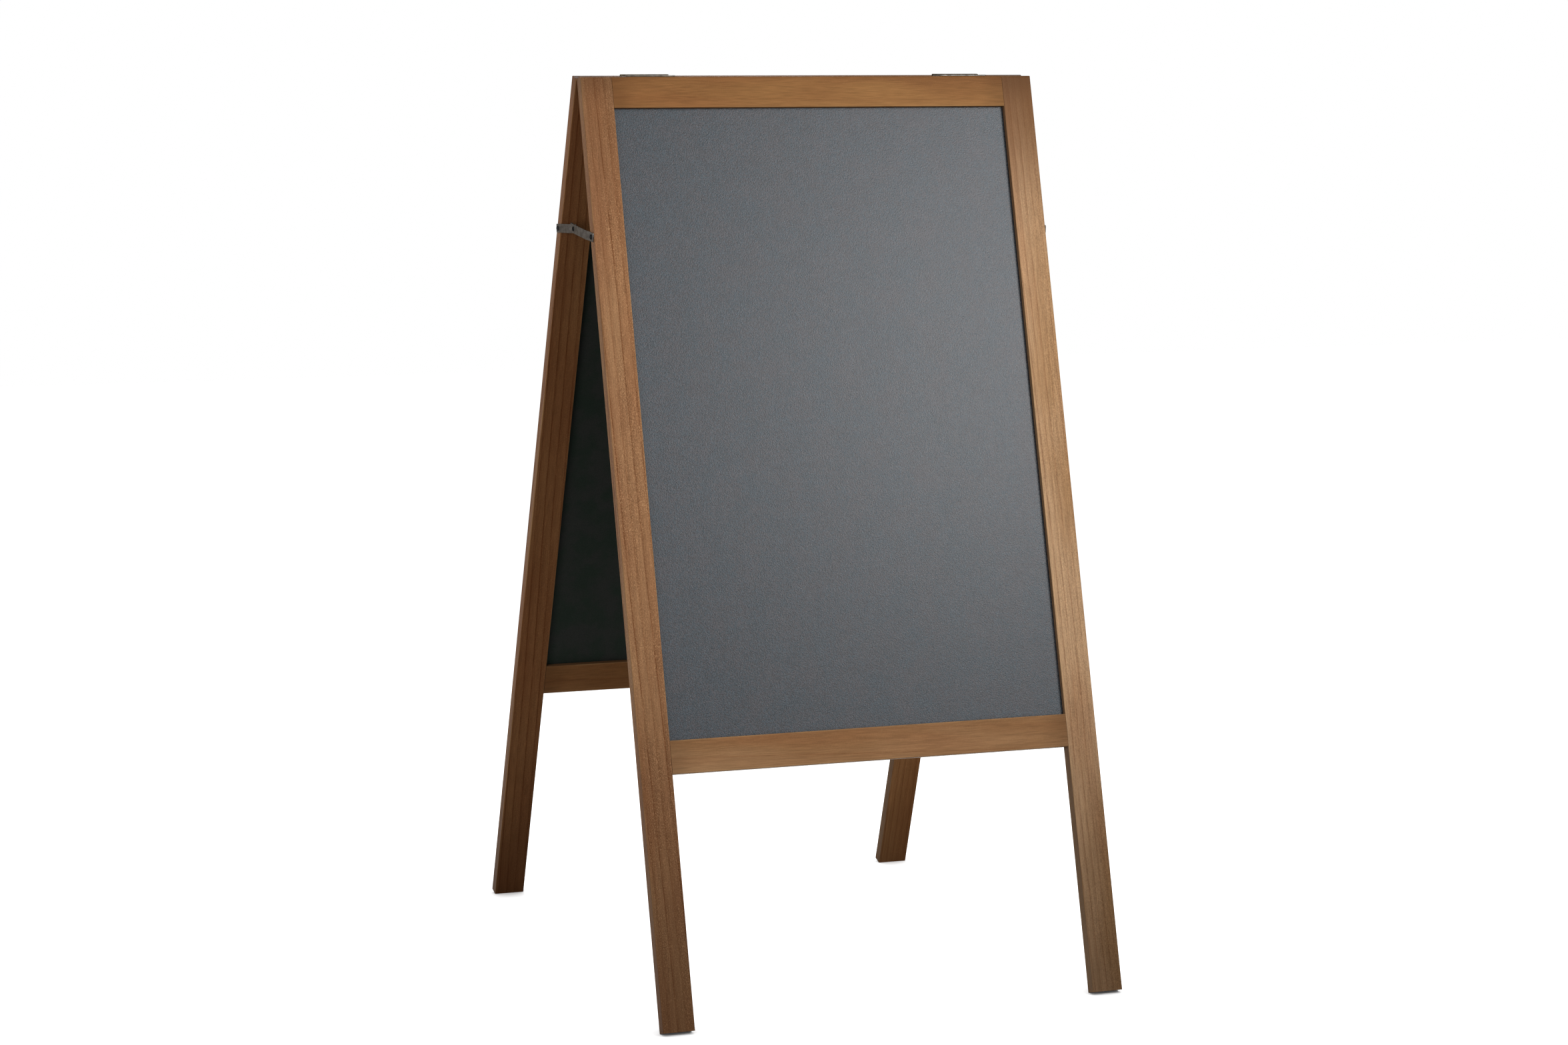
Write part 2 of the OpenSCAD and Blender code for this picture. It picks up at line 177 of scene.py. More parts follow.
class Painter:
    """Works out one procedural material from the piece's own Object coordinates."""

    ROUGHNESS = 0.55

    def __init__(self, name: str, centre: Vector, turn: Matrix, seed: float) -> None:
        """Starts an empty material whose patterns are centred on a piece and turned with it.

        Args:
            name: The material's name.
            centre: The middle of the piece, in metres.
            turn: The piece's own axes, as the columns of a rotation.
            seed: Moves the patterns, so that no two pieces match.
        """
        self.seed = seed
        self.material = bpy.data.materials.new(name)
        self.material.use_nodes = True
        self.tree = self.material.node_tree
        self.tree.nodes.clear()
        coordinates = add_node(self.tree, "ShaderNodeTexCoord").outputs
        self.normal = coordinates["Normal"]
        self.place = self.add(Step.PLACE, coordinates["Object"], centre, turn.to_euler("XYZ"))

    def add(self, step: Step, *inputs: Input) -> Socket:
        """Adds one step of working out the material.

        Args:
            step: The step.
            *inputs: Its inputs in order. The last ones may be left at Blender's own values.

        Returns:
            What comes out of the step.
        """
        kind, places, output, settings = step.value
        return add_node(self.tree, kind, dict(zip(places, inputs)), **settings).outputs[output]

    def pattern(self, sizes: float | Point, apart: float, detail: float = 2.0,
                place: Socket | None = None) -> Socket:
        """Cloudy noise, stretched along the piece's own axes.

        Args:
            sizes: How large one feature is in millimetres, all round or along each axis.
            apart: Moves the pattern away from the others on the piece.
            detail: How many finer layers are added.
            place: Where the pattern is read, if not at the plain coordinates.

        Returns:
            The noise's value, mostly from 0.3 to 0.7.
        """
        per_metre = tuple(1 / (np.ones(3) * sizes * MM))
        seed = self.seed + apart
        moved = (seed, seed * 1.7, seed * 0.6)
        stretched = self.add(Step.STRETCH, place or self.place, moved, per_metre)
        return self.add(Step.NOISE, stretched, 1.0, detail, self.ROUGHNESS)

    def finish(self, shader: dict[str, Input]) -> bpy.types.Material:
        """Ends the material in a Principled shader.

        Args:
            shader: The shader's inputs.

        Returns:
            The material.
        """
        surface = add_node(self.tree, "ShaderNodeBsdfPrincipled", shader)
        add_node(self.tree, "ShaderNodeOutputMaterial", {"Surface": surface.outputs[0]})
        return self.material


class Tone(Enum):
    """How one piece of timber took the stain, as its darker and paler browns."""

    RUSSET = ("#906546", "#9F7754")
    HONEY = ("#A17C57", "#B89572")
    GOLDEN = ("#7E5634", "#91683F")
    TAWNY = ("#916A47", "#A27C58")


@dataclass(frozen=True)
class Cut:
    """How a piece of timber was sawn from its log, and how it took the stain.

    The pith is a line along the grain, beside the piece; rings are shells about it, a fixed distance apart.
    They sway, the slope says how far the pith runs askew, and the drift pales the piece towards one side, as
    sapwood does. Lines, flecks and streaks say how strongly each shows. Painted shade darkens the top of a
    leg and one long edge of a rail, and soiling with painted shade climbs from a leg's foot.
    """

    tone: Tone
    pith: tuple[float, float]
    ring: float
    lines: float
    sway: float = 7 * MM
    slope: float = 0.006
    drift: float = 0.0
    flecks: float = 1.0
    streaks: float = 0.2
    line_width: float = 1.1 * MM
    crown: float = 0.0
    dirt: float = 330 * MM


@dataclass(frozen=True)
class Block:
    """A piece of timber as its grain sees it: X across the face, Y through it, Z along the grain.

    The panel lies on its X side where panel is 1, and on the other where it is -1. The sign's outer face
    lies on its Y side where outward is 1, and on the other where it is -1.
    """

    name: str
    centre: Vector
    turn: Matrix
    half: Point
    seed: float
    panel: int
    outward: int
    cut: Cut
    foot: bool


class TimberPainter(Painter):
    """A painter that knows the block it paints, and the place on it along each of its axes."""

    def __init__(self, name: str, block: Block) -> None:
        """Starts the material of one block.

        Args:
            name: The material's name.
            block: The piece of timber.
        """
        super().__init__(name, block.centre, block.turn, block.seed)
        self.block = block
        self.x, self.y, self.z = add_node(self.tree, "ShaderNodeSeparateXYZ", {0: self.place}).outputs

    def facing(self, axis: int) -> Socket:
        """How squarely the surface faces along one of the piece's own axes, from -1 to 1."""
        return self.add(Step.ALONG, self.normal, self.block.turn.col[axis])


@dataclass(frozen=True)
class StainedHardwood:
    """Planed cherry, stained a warm brown and lacquered satin.

    Gives the eye a soft orange-brown with thin darker growth lines along the grain, fine fibres and streaks,
    a pebble of short pale and dark flecks in patches, darker end grain, and arrises paler, partly from wear
    and partly as a painted highlight. Faces that look at the other board are painted a deeper brown, a
    painted shade for the dim space between the boards. The lacquer's shine is nearly off, because the studio
    is white all round and would veil the wood.
    """

    red: str = "#8F5A38"
    streak: str = "#65432A"
    line: str = "#6B3E22"
    fleck: str = "#C49C72"
    end: str = "#3E2514"
    rubbed: str = "#B08A60"
    grime: str = "#3F2818"
    sheltered: str = "#ECDDCB"
    ior: float = 1.47
    shine: float = 0.015
    roughness: tuple[float, float] = (0.36, 0.44)
    relief: float = 0.06 * MM
    ripple: float = 1.2 * MM
    late_wood: float = 0.85
    bend: float = 1.6 * MM
    arris: float = 1.8 * MM
    soak: float = 40 * MM
    splash: float = 120 * MM
    crown_reach: float = 260 * MM

    def paint(self, block: Block) -> bpy.types.Material:
        """Makes the finish of one piece of timber.

        Real fibres are finer than a tenth of a millimetre; these are 0.8 mm wide, so that they show.

        Args:
            block: The piece's place, axes, size and cut.

        Returns:
            The material.
        """
        p = TimberPainter(f"stained_hardwood_{block.name}", block)
        cut = block.cut
        line = p.add(Step.TIMES, self._growth_lines(p), cut.lines)
        pebble, patches = self._pebble(p)
        fibre = p.pattern((0.769, 0.769, 22.2), 23, 1)

        colour = p.add(Step.BLEND, line, self._stain(p), self.line)
        flecks = p.add(Step.RAMP, pebble, 0.55, 0.72, 0.0, 0.5 * cut.flecks)
        colour = p.add(Step.BLEND, p.add(Step.TIMES, flecks, patches), colour, self.fleck)
        swing = p.add(Step.RAMP, pebble, 0.28, 0.62, -0.35 * cut.flecks, 0.1 * cut.flecks)
        swing = p.add(Step.PLUS, p.add(Step.TIMES, swing, patches), 1.0)
        grain = p.add(Step.TIMES, swing, p.add(Step.RAMP, fibre, 0.3, 0.7, 0.87, 1.11))
        colour = p.add(Step.TINT, 1.0, colour, grain)
        # Painted shade: faces that look at the other board are tinted a deeper brown.
        inwards = p.add(Step.TIMES, p.facing(1), -block.outward)
        colour = p.add(Step.TINT, p.add(Step.RAMP, inwards, 0.3, 0.9), colour, self.sheltered)
        colour = self._weathered(p, self._rubbed_and_cut(p, colour))

        height = p.add(Step.PLUS, pebble, p.add(Step.TIMES, line, -0.5))
        return p.finish({
            "Base Color": colour,
            "Roughness": p.add(Step.RAMP, pebble, 0.3, 0.7, *self.roughness),
            "IOR": self.ior,
            "Specular IOR Level": self.shine,
            "Normal": p.add(Step.BUMP, height, self.relief, 0.5),
        })

    def _stain(self, p: TimberPainter) -> Socket:
        """The stain in blotches of its two browns, with redder clouds and darker streaks.

        Args:
            p: The timber's painter.

        Returns:
            The colour under the growth lines.
        """
        cut = p.block.cut
        blotch = p.pattern((66.7, 66.7, 250), 12, 2)
        hue = p.pattern((38.5, 38.5, 250), 13, 1)
        streak = p.pattern((4.35, 4.35, 250), 17, 3)
        drift = p.add(Step.TIMES, p.x, cut.drift / p.block.half[0])
        paling = p.add(Step.RAMP, p.add(Step.PLUS, blotch, drift), 0.3, 0.7)
        colour = p.add(Step.BLEND, paling, *cut.tone.value)
        colour = p.add(Step.BLEND, p.add(Step.RAMP, hue, 0.48, 0.7, 0.0, 0.28), colour, self.red)
        return p.add(Step.BLEND, p.add(Step.RAMP, streak, 0.48, 0.75, 0.0, cut.streaks), colour, self.streak)

    def _growth_lines(self, p: TimberPainter) -> Socket:
        """Where the thin dark lines of late wood lie.

        The distance from the pith, bent by noise and divided by the rings' spacing, counts the rings. Its
        fraction darkens a little towards the ring's end, and a line of fixed width lies there. Each ring has
        its own strength.

        Args:
            p: The timber's painter.

        Returns:
            0 between the lines, up to 1 on the strongest.
        """
        cut = p.block.cut
        swaying = p.add(Step.MINUS, p.pattern((125, 125, 667), 0, 1.5), 0.5)
        rippling = p.add(Step.MINUS, p.pattern((12.5, 12.5, 71.4), 3, 2), 0.5)
        sway = p.add(Step.TIMES, swaying, 2 * cut.sway)
        askew = p.add(Step.TIMES, p.z, cut.slope)
        across = p.add(Step.PLUS, p.add(Step.MINUS, p.x, cut.pith[0]), p.add(Step.PLUS, sway, askew))
        across = p.add(Step.PLUS, across, p.add(Step.TIMES, rippling, self.ripple))
        through = p.add(Step.MINUS, p.y, cut.pith[1])
        squares = p.add(Step.PLUS, p.add(Step.TIMES, across, across), p.add(Step.TIMES, through, through))
        ring = p.add(Step.OVER, p.add(Step.ROOT, squares), cut.ring)
        phase = p.add(Step.FRACTION, ring)
        which = p.add(Step.CHANCE, p.add(Step.PLUS, p.add(Step.WHOLE, ring), p.seed))
        before = p.add(Step.TIMES, p.add(Step.MINUS, phase, self.late_wood), cut.ring)
        thin = p.add(Step.RAMP, p.add(Step.UNSIGNED, before), 0.2 * cut.line_width, cut.line_width, 1.0, 0.0)
        darkening = p.add(Step.RAMP, phase, 0.2, self.late_wood, 0.0, 0.3)
        shade = p.add(Step.TIMES, darkening, p.add(Step.RAMP, phase, self.late_wood + 0.01, 0.99, 1.0, 0.0))
        broken = p.add(Step.RAMP, p.pattern((14.3, 14.3, 62.5), 5, 2), 0.34, 0.56, 0.45, 1.0)
        strength = p.add(Step.RAMP, which, 0.05, 0.9, 0.55, 1.0)
        thin = p.add(Step.TIMES, p.add(Step.TIMES, thin, broken), strength)
        return p.add(Step.LARGER, shade, thin)

    def _pebble(self, p: TimberPainter) -> tuple[Socket, Socket]:
        """The short flecks of the pores and rays under the lacquer, and the patches where they show.

        Real ones are under half a millimetre wide; these are a millimetre wide, so that they show. Curls
        4 mm across bend them.

        Args:
            p: The timber's painter.

        Returns:
            The flecks' noise, and the patches' strength.
        """
        curls = p.add(Step.CURLS, p.place, 1 / (4.167 * MM), 1.0)
        place = p.add(Step.SHIFT, p.place, p.add(Step.WEIGH, curls, (self.bend, self.bend, 0.0)))
        flecks = p.pattern((1.0417, 1.0417, 1.5625), 31, 1.5, place)
        aside = p.add(Step.TIMES, p.x, 0.12 / p.block.half[0])
        patches = p.add(Step.PLUS, p.pattern((18.2, 18.2, 100), 37, 2), aside)
        return flecks, p.add(Step.RAMP, patches, 0.36, 0.64, 0.5, 1.0)

    def _rubbed_and_cut(self, p: TimberPainter, colour: Socket) -> Socket:
        """Pales the arrises, partly as wear and partly as a painted highlight, and darkens the cut ends.

        Args:
            p: The timber's painter.
            colour: The colour so far.

        Returns:
            The colour with its arrises and ends.
        """
        sharp = 0.2 * MM
        # Painted highlight with some wear: the arrises are paled.
        rub_and_highlight = p.add(Step.RAMP, p.pattern((11.1, 11.1, 62.5), 41, 2), 0.38, 0.62, 0.1, 0.5)
        for across, half in ((p.x, p.block.half[0]), (p.y, p.block.half[1])):
            near = p.add(Step.RAMP, p.add(Step.UNSIGNED, across), half - self.arris, half - sharp)
            rub_and_highlight = p.add(Step.TIMES, rub_and_highlight, near)
        colour = p.add(Step.BLEND, rub_and_highlight, colour, self.rubbed)
        cut_end = p.add(Step.RAMP, p.add(Step.UNSIGNED, p.facing(2)), 0.6, 0.95, 0.0, 0.75)
        return p.add(Step.BLEND, cut_end, colour, self.end)

    def _weathered(self, p: TimberPainter, colour: Socket) -> Socket:
        """Darkens the ends, the feet, the tops and the edges round the panel, with soiling and painted shade.

        Darkening climbs a leg from its foot to a ragged height, partly soiling and partly painted shade for
        the light falling off towards the floor. Painted shade darkens the outer face of a leg near its top,
        one long edge of a rail and the faces that look into the panel's recess.

        Args:
            p: The timber's painter.
            colour: The colour so far.

        Returns:
            The weathered colour.
        """
        block = p.block
        from_end = p.add(Step.MINUS, block.half[2], p.add(Step.UNSIGNED, p.z))
        soak_grime_and_shade = p.add(Step.RAMP, from_end, 0.0, self.soak, 0.3, 0.0)
        if block.foot:
            # Soiling and painted shade climb a leg from its foot; the shade stands in for the light falling
            # off towards the floor.
            ragged = p.add(Step.TIMES, p.pattern((40, 40, 111), 47, 3), self.splash)
            low = p.add(Step.PLUS, p.add(Step.PLUS, p.z, block.half[2]), ragged)
            foot_grime_and_shade = p.add(Step.RAMP, low, 30 * MM, block.cut.dirt, 0.6, 0.0)
            soak_grime_and_shade = p.add(Step.LARGER, soak_grime_and_shade, foot_grime_and_shade)
            # Painted shade: the outer face of a leg darkens towards its top.
            high = p.add(Step.MINUS, block.half[2], p.z)
            outer = p.add(Step.TIMES, p.facing(1), block.outward)
            top_shade_fade = p.add(Step.RAMP, high, 0.0, self.crown_reach, block.cut.crown, 0.0)
            painted_top_shade = p.add(Step.TIMES, top_shade_fade, p.add(Step.RAMP, outer, 0.3, 0.9))
        else:
            # Painted shade: one long edge of a rail is darkened.
            painted_top_shade = p.add(Step.RAMP, p.facing(0), 0.5, 0.9, 0.0, block.cut.crown)
        # The painted shade at the tops takes the streak brown.
        colour = p.add(Step.BLEND, painted_top_shade, colour, self.streak)
        # Painted shade: faces that look into the panel's recess are darkened.
        towards_panel = p.add(Step.TIMES, p.facing(0), block.panel)
        soak_grime_and_shade = p.add(Step.LARGER, soak_grime_and_shade, p.add(Step.RAMP, towards_panel, 0.7, 0.98, 0.0, 0.55))
        # One dark brown serves the ends, the soiling and the painted shade.
        return p.add(Step.BLEND, soak_grime_and_shade, colour, self.grime)


@dataclass(frozen=True)
class Finish:
    """A finish that looks alike on every face of a piece. Each kind describes its own surface."""

    label: ClassVar[str]

    def paint(self, piece: str, centre: Vector, turn: Matrix, seed: float) -> bpy.types.Material:
        """Makes the finish of one piece.

        Args:
            piece: The name of the piece, or of its board.
            centre: The middle of the piece, in metres.
            turn: The piece's own axes, as the columns of a rotation.
            seed: Moves the patterns, so that no two pieces match.

        Returns:
            The material.
        """
        p = Painter(f"{self.label}_{piece}", centre, turn, seed)
        return p.finish(self.surface(p))

    def surface(self, p: Painter) -> dict[str, Input]:
        """The inputs of the Principled shader, which each kind of finish gives."""
        raise NotImplementedError


@dataclass(frozen=True)
class ChalkboardPaint(Finish):
    """Chalkboard paint rolled on hardboard.

    Gives the eye a near-black blue-grey that a large light turns to a satin grey, pebbled by the roller's
    stipple, with paler specks painted in as sparkles of highlight and faint bluer and warmer clouds.
    """

    label: ClassVar[str] = "chalkboard_paint"
    slate: str = "#2B343B"
    warm: str = "#363539"
    glint: str = "#6A6F73"
    ior: float = 1.5
    shine: float = 0.3
    roughness: tuple[float, float] = (0.36, 0.44)
    relief: float = 0.25 * MM

    def surface(self, p: Painter) -> dict[str, Input]:
        """Stipples the paint in grains a millimetre and a third across, as a short-pile roller leaves them.

        Args:
            p: The material's painter.

        Returns:
            The shader's inputs.
        """
        cloud = p.pattern(38.5, 0, 3)
        haze = p.pattern(12.5, 5, 2)
        grain = p.pattern(1.316, 9, 2)
        # Painted highlight: paler sparkle specks mixed into the base colour.
        glint = p.add(Step.RAMP, p.pattern(1.111, 13, 1), 0.6, 0.72)
        speck = p.pattern(2.326, 19, 1)
        hue = p.add(Step.PLUS, p.add(Step.TIMES, cloud, 0.4), p.add(Step.TIMES, speck, 0.6))
        colour = p.add(Step.BLEND, p.add(Step.RAMP, hue, 0.4, 0.6), self.slate, self.warm)
        clouded = p.add(Step.RAMP, haze, 0.3, 0.7, 0.93, 1.07)
        tone = p.add(Step.TIMES, clouded, p.add(Step.RAMP, grain, 0.3, 0.7, 0.38, 1.62))
        colour = p.add(Step.TINT, 1.0, colour, tone)
        return {
            "Base Color": p.add(Step.BLEND, p.add(Step.TIMES, glint, 0.5), colour, self.glint),
            "Roughness": p.add(Step.RAMP, grain, 0.3, 0.7, *self.roughness),
            "IOR": self.ior,
            "Specular IOR Level": self.shine,
            "Normal": p.add(Step.BUMP, grain, self.relief, 1.0),
        }


@dataclass(frozen=True)
class SprayedBack(Finish):
    """The rough back of the hardboard, sprayed matt black.

    Gives the eye a flat green-black with soft clouds and hardly any shine.
    """

    label: ClassVar[str] = "sprayed_matt_black"
    black: str = "#212A23"
    thin: str = "#2C2E2B"
    ior: float = 1.5
    shine: float = 0.1
    roughness: tuple[float, float] = (0.7, 0.8)
    relief: float = 0.1 * MM

    def surface(self, p: Painter) -> dict[str, Input]:
        """Clouds the spray over the board's fibres.

        Real fibres are a tenth of a millimetre thick; these are 1.4 mm, so that they show.

        Args:
            p: The material's painter.

        Returns:
            The shader's inputs.
        """
        cloud = p.pattern(33.3, 3, 3)
        fibre = p.pattern(1.429, 7, 2)
        colour = p.add(Step.BLEND, p.add(Step.RAMP, cloud, 0.35, 0.65), self.black, self.thin)
        return {
            "Base Color": p.add(Step.TINT, 1.0, colour, p.add(Step.RAMP, fibre, 0.3, 0.7, 0.85, 1.15)),
            "Roughness": p.add(Step.RAMP, fibre, 0.3, 0.7, *self.roughness),
            "IOR": self.ior,
            "Specular IOR Level": self.shine,
            "Normal": p.add(Step.BUMP, fibre, self.relief, 0.5),
        }


@dataclass(frozen=True)
class PlatedSteel(Finish):
    """Zinc-plated strip steel, dulled outdoors.

    Gives the eye a soft warm grey metal with cloudy dull patches and fine scuffs. The grazing tint keeps
    its edges from turning white in the white studio.
    """

    label: ClassVar[str] = "plated_steel"
    bright: str = "#67635F"
    dull: str = "#56524F"
    grazing: str = "#A5A19C"
    roughness: tuple[float, float] = (0.48, 0.42)
    scuffing: float = 0.1
    relief: float = 0.02 * MM

    def surface(self, p: Painter) -> dict[str, Input]:
        """Clouds the plating in patches of 6 mm and scuffs it along its length.

        Real scuffs are a tenth of a millimetre wide; these are 0.9 mm, so that they show.

        Args:
            p: The material's painter.

        Returns:
            The shader's inputs.
        """
        cloud = p.pattern(5.882, 0, 2)
        scuff = p.pattern((0.909, 0.909, 14.29), 7, 2)
        clouded = p.add(Step.RAMP, cloud, 0.3, 0.7, *self.roughness)
        scuffed = p.add(Step.RAMP, scuff, 0.4, 0.7, 0.0, self.scuffing)
        return {
            "Base Color": p.add(Step.BLEND, p.add(Step.RAMP, cloud, 0.32, 0.68), self.dull, self.bright),
            "Metallic": 1.0,
            "Specular Tint": self.grazing,
            "Roughness": p.add(Step.PLUS, clouded, scuffed),
            "Normal": p.add(Step.BUMP, scuff, self.relief, 0.3),
        }


@dataclass(frozen=True)
class BlackenedSteel(Finish):
    """Screws and rivets in black oxide.

    Gives the eye a near-black satin metal, greyer where it has been turned or hammered.
    """

    label: ClassVar[str] = "blackened_steel"
    black: str = "#242425"
    worn: str = "#4C4A48"
    grazing: str = "#5A5855"
    roughness: tuple[float, float] = (0.5, 0.36)
    relief: float = 0.03 * MM

    def surface(self, p: Painter) -> dict[str, Input]:
        """Wears the oxide through in spots of a millimetre, a driver's slip or a hammer's mark.

        Args:
            p: The material's painter.

        Returns:
            The shader's inputs.
        """
        wear = p.pattern(1.111, 0, 3)
        through = p.add(Step.RAMP, wear, 0.52, 0.72, 0.0, 0.8)
        return {
            "Base Color": p.add(Step.BLEND, through, self.black, self.worn),
            "Metallic": 1.0,
            "Specular Tint": self.grazing,
            "Roughness": p.add(Step.RAMP, wear, 0.3, 0.7, *self.roughness),
            "Normal": p.add(Step.BUMP, wear, self.relief, 0.3),
        }


@dataclass(frozen=True)
class RawBeech(Finish):
    """Turned beech with no finish.

    Gives the eye a pale pinkish tan with short brown flecks along the grain.
    """

    label: ClassVar[str] = "raw_beech"
    pale: str = "#D2B48E"
    fleck: str = "#9C7450"
    roughness: float = 0.68
    shine: float = 0.3

    def surface(self, p: Painter) -> dict[str, Input]:
        """Flecks the wood with rays 0.7 mm wide and 4 mm long.

        Args:
            p: The material's painter.

        Returns:
            The shader's inputs.
        """
        flecks = p.add(Step.RAMP, p.pattern((0.714, 0.714, 3.846), 0, 1), 0.58, 0.68, 0.0, 0.7)
        return {
            "Base Color": p.add(Step.BLEND, flecks, self.pale, self.fleck),
            "Roughness": self.roughness,
            "Specular IOR Level": self.shine,
        }


@dataclass
class Shell:
    """The vertices of one or more closed surfaces, their four-sided faces and the triangles at their ends."""

    vertices: np.ndarray
    quads: np.ndarray
    caps: np.ndarray

    @classmethod
    def tube(cls, rings: np.ndarray) -> "Shell":
        """Closes a grid of rings into a solid skin.

        Args:
            rings: Points of shape (rings, points in a ring, 3), each ring anticlockwise seen from the last.

        Returns:
            Quads between neighbouring rings, wrapped round, and a fan about the middle of each end ring.
        """
        count, around = rings.shape[:2]
        i, j = np.meshgrid(np.arange(count - 1), np.arange(around), indexing="ij")
        ahead = (j + 1) % around
        below, above = i * around, (i + 1) * around
        quads = np.stack([below + j, below + ahead, above + ahead, above + j], -1)
        last, total = (count - 1) * around, count * around
        turn = np.arange(around)
        ahead = (turn + 1) % around
        start = np.stack([np.full(around, total), ahead, turn], -1)
        end = np.stack([np.full(around, total + 1), last + turn, last + ahead], -1)
        middles = np.stack([rings[0].mean(0), rings[-1].mean(0)])
        vertices = np.concatenate([rings.reshape(-1, 3), middles])
        return cls(vertices, quads.reshape(-1, 4), np.concatenate([start, end]))

    @classmethod
    def joined(cls, shells: list["Shell"]) -> "Shell":
        """Puts several shells into one, each still a closed surface of its own.

        Args:
            shells: The shells, none of which shares a point with another.

        Returns:
            One shell with all their vertices, whose faces count on from one shell to the next.
        """
        starts = np.cumsum([0] + [len(shell.vertices) for shell in shells[:-1]])
        vertices = [shell.vertices for shell in shells]
        quads = [shell.quads + start for shell, start in zip(shells, starts)]
        caps = [shell.caps + start for shell, start in zip(shells, starts)]
        return cls(np.concatenate(vertices), np.concatenate(quads), np.concatenate(caps))

    def moved(self, turn: np.ndarray, origin: np.ndarray) -> "Shell":
        """The same surface in other axes and about another origin.

        Axes that mirror would turn the surface inside out, so there each face is listed backwards.

        Args:
            turn: The new axes, as rows.
            origin: Where the old origin goes.

        Returns:
            The moved surface, whose faces still point outwards.
        """
        way = -1 if np.linalg.det(turn) < 0 else 1
        return Shell(self.vertices @ turn + origin, self.quads[:, ::way], self.caps[:, ::way])

    def piece(self, name: str, sharp: float) -> bpy.types.Object:
        """Makes the surface a mesh object at the scene's origin.

        Args:
            name: The object's name.
            sharp: Edges that turn by more than this angle, in degrees, stay crisp.

        Returns:
            The object.
        """
        mesh = bpy.data.meshes.new(name)
        mesh.from_pydata(self.vertices.tolist(), [], self.quads.tolist() + self.caps.tolist())
        mesh.polygons.foreach_set("use_smooth", np.ones(len(mesh.polygons), bool))
        mesh.set_sharp_from_angle(angle=math.radians(sharp))
        mesh.update()
        piece = bpy.data.objects.new(name, mesh)
        bpy.context.scene.collection.objects.link(piece)
        return piece


@dataclass(frozen=True)
class BoardAxes:
    """The axes of one board of the open sign, which leans about the hinge pins.

    Local X runs across the sign, local Y outwards from the hinge plane and local Z up along the board, from
    an origin on the hinge pins' axis.
    """

    side: Side
    lean: float
    pin_z: float

    @property
    def columns(self) -> np.ndarray:
        """Local X, Y and Z as rows, in the part's frame, turned by the lean about X."""
        s, c, sign = math.sin(self.lean), math.cos(self.lean), self.side.value
        return np.array([[1.0, 0.0, 0.0], [0.0, sign * c, s], [0.0, -sign * s, c]])

    def place(self, point: Point) -> np.ndarray:
        """A local point, in metres, carried into the part's frame."""
        return np.array(point) @ self.columns + np.array([0.0, 0.0, self.pin_z])

    def local(self, point: Vector) -> np.ndarray:
        """A point of the part's frame, in metres, read in the board's own axes."""
        return self.columns @ (np.array(point) - [0, 0, self.pin_z])

    def turn(self, along: str) -> Matrix:
        """A right-handed rotation whose third column runs along the grain.

        Args:
            along: "up" for the legs and the panel, "across" for the rails.

        Returns:
            The columns across the face, through it and along the grain.
        """
        x, _, z = (Vector(row) for row in self.columns)
        grain, face = (z, x) if along == "up" else (x, z)
        through = grain.cross(face)
        return Matrix((face, through, grain)).transposed()


def show(piece: bpy.types.Object, material: bpy.types.Material) -> None:
    """Dresses a piece in one material and reports it.

    Args:
        piece: The object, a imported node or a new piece.
        material: Its finish.
    """
    if not piece.material_slots:
        piece.data.materials.append(material)
    for holder in piece.material_slots:
        holder.material = material
    log.info("%s in %s", piece.name, material.name)


def middle(node: str) -> Vector:
    """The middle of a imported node's box."""
    low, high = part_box(node)
    return (low + high) / 2


@dataclass(frozen=True)
class FlutedDowel:
    """A turned dowel, fluted to let the glue out."""

    length: float = 40 * MM
    radius: float = 3 * MM
    flutes: int = 20
    depth: float = 0.18 * MM
    chamfer: float = 1 * MM
    taper: float = 0.6
    around: int = 120
    crisp: float = 40

    def shell(self) -> Shell:
        """Works out the dowel's skin, lying along X about its own middle.

        It is a circle carried along X, pinched by a cosine with one trough for each flute and drawn in at
        both ends by a chamfer.

        Returns:
            The closed surface.
        """
        angle = np.linspace(0, 2 * math.pi, self.around, endpoint=False)
        half = self.length / 2
        along = np.array([-half, -half + self.chamfer, half - self.chamfer, half])
        drawn_in = np.array([1, 0, 0, 1]) * self.chamfer * self.taper
        pinch = self.depth * (0.5 - 0.5 * np.cos(self.flutes * angle))
        radius = self.radius - drawn_in[:, None] - pinch[None, :]
        x = np.broadcast_to(along[:, None], radius.shape)
        return Shell.tube(np.stack([x, radius * np.cos(angle), radius * np.sin(angle)], -1))


@dataclass(frozen=True)
class BoardLook:
    """What sets one board's look apart: its patterns' seeds, its flecks and how high soiling and painted
    shade climb.
    """

    timber_seed: float
    panel_seed: float
    flecks: float
    left_dirt: float
    right_dirt: float
    right_tone: Tone


LOOKS = {
    Side.FRONT: BoardLook(
        timber_seed=4.0, panel_seed=3.0, flecks=1.0, left_dirt=600 * MM, right_dirt=500 * MM,
        right_tone=Tone.HONEY),
    Side.REAR: BoardLook(
        timber_seed=61.0, panel_seed=47.0, flecks=0.45, left_dirt=400 * MM, right_dirt=400 * MM,
        right_tone=Tone.TAWNY),
}


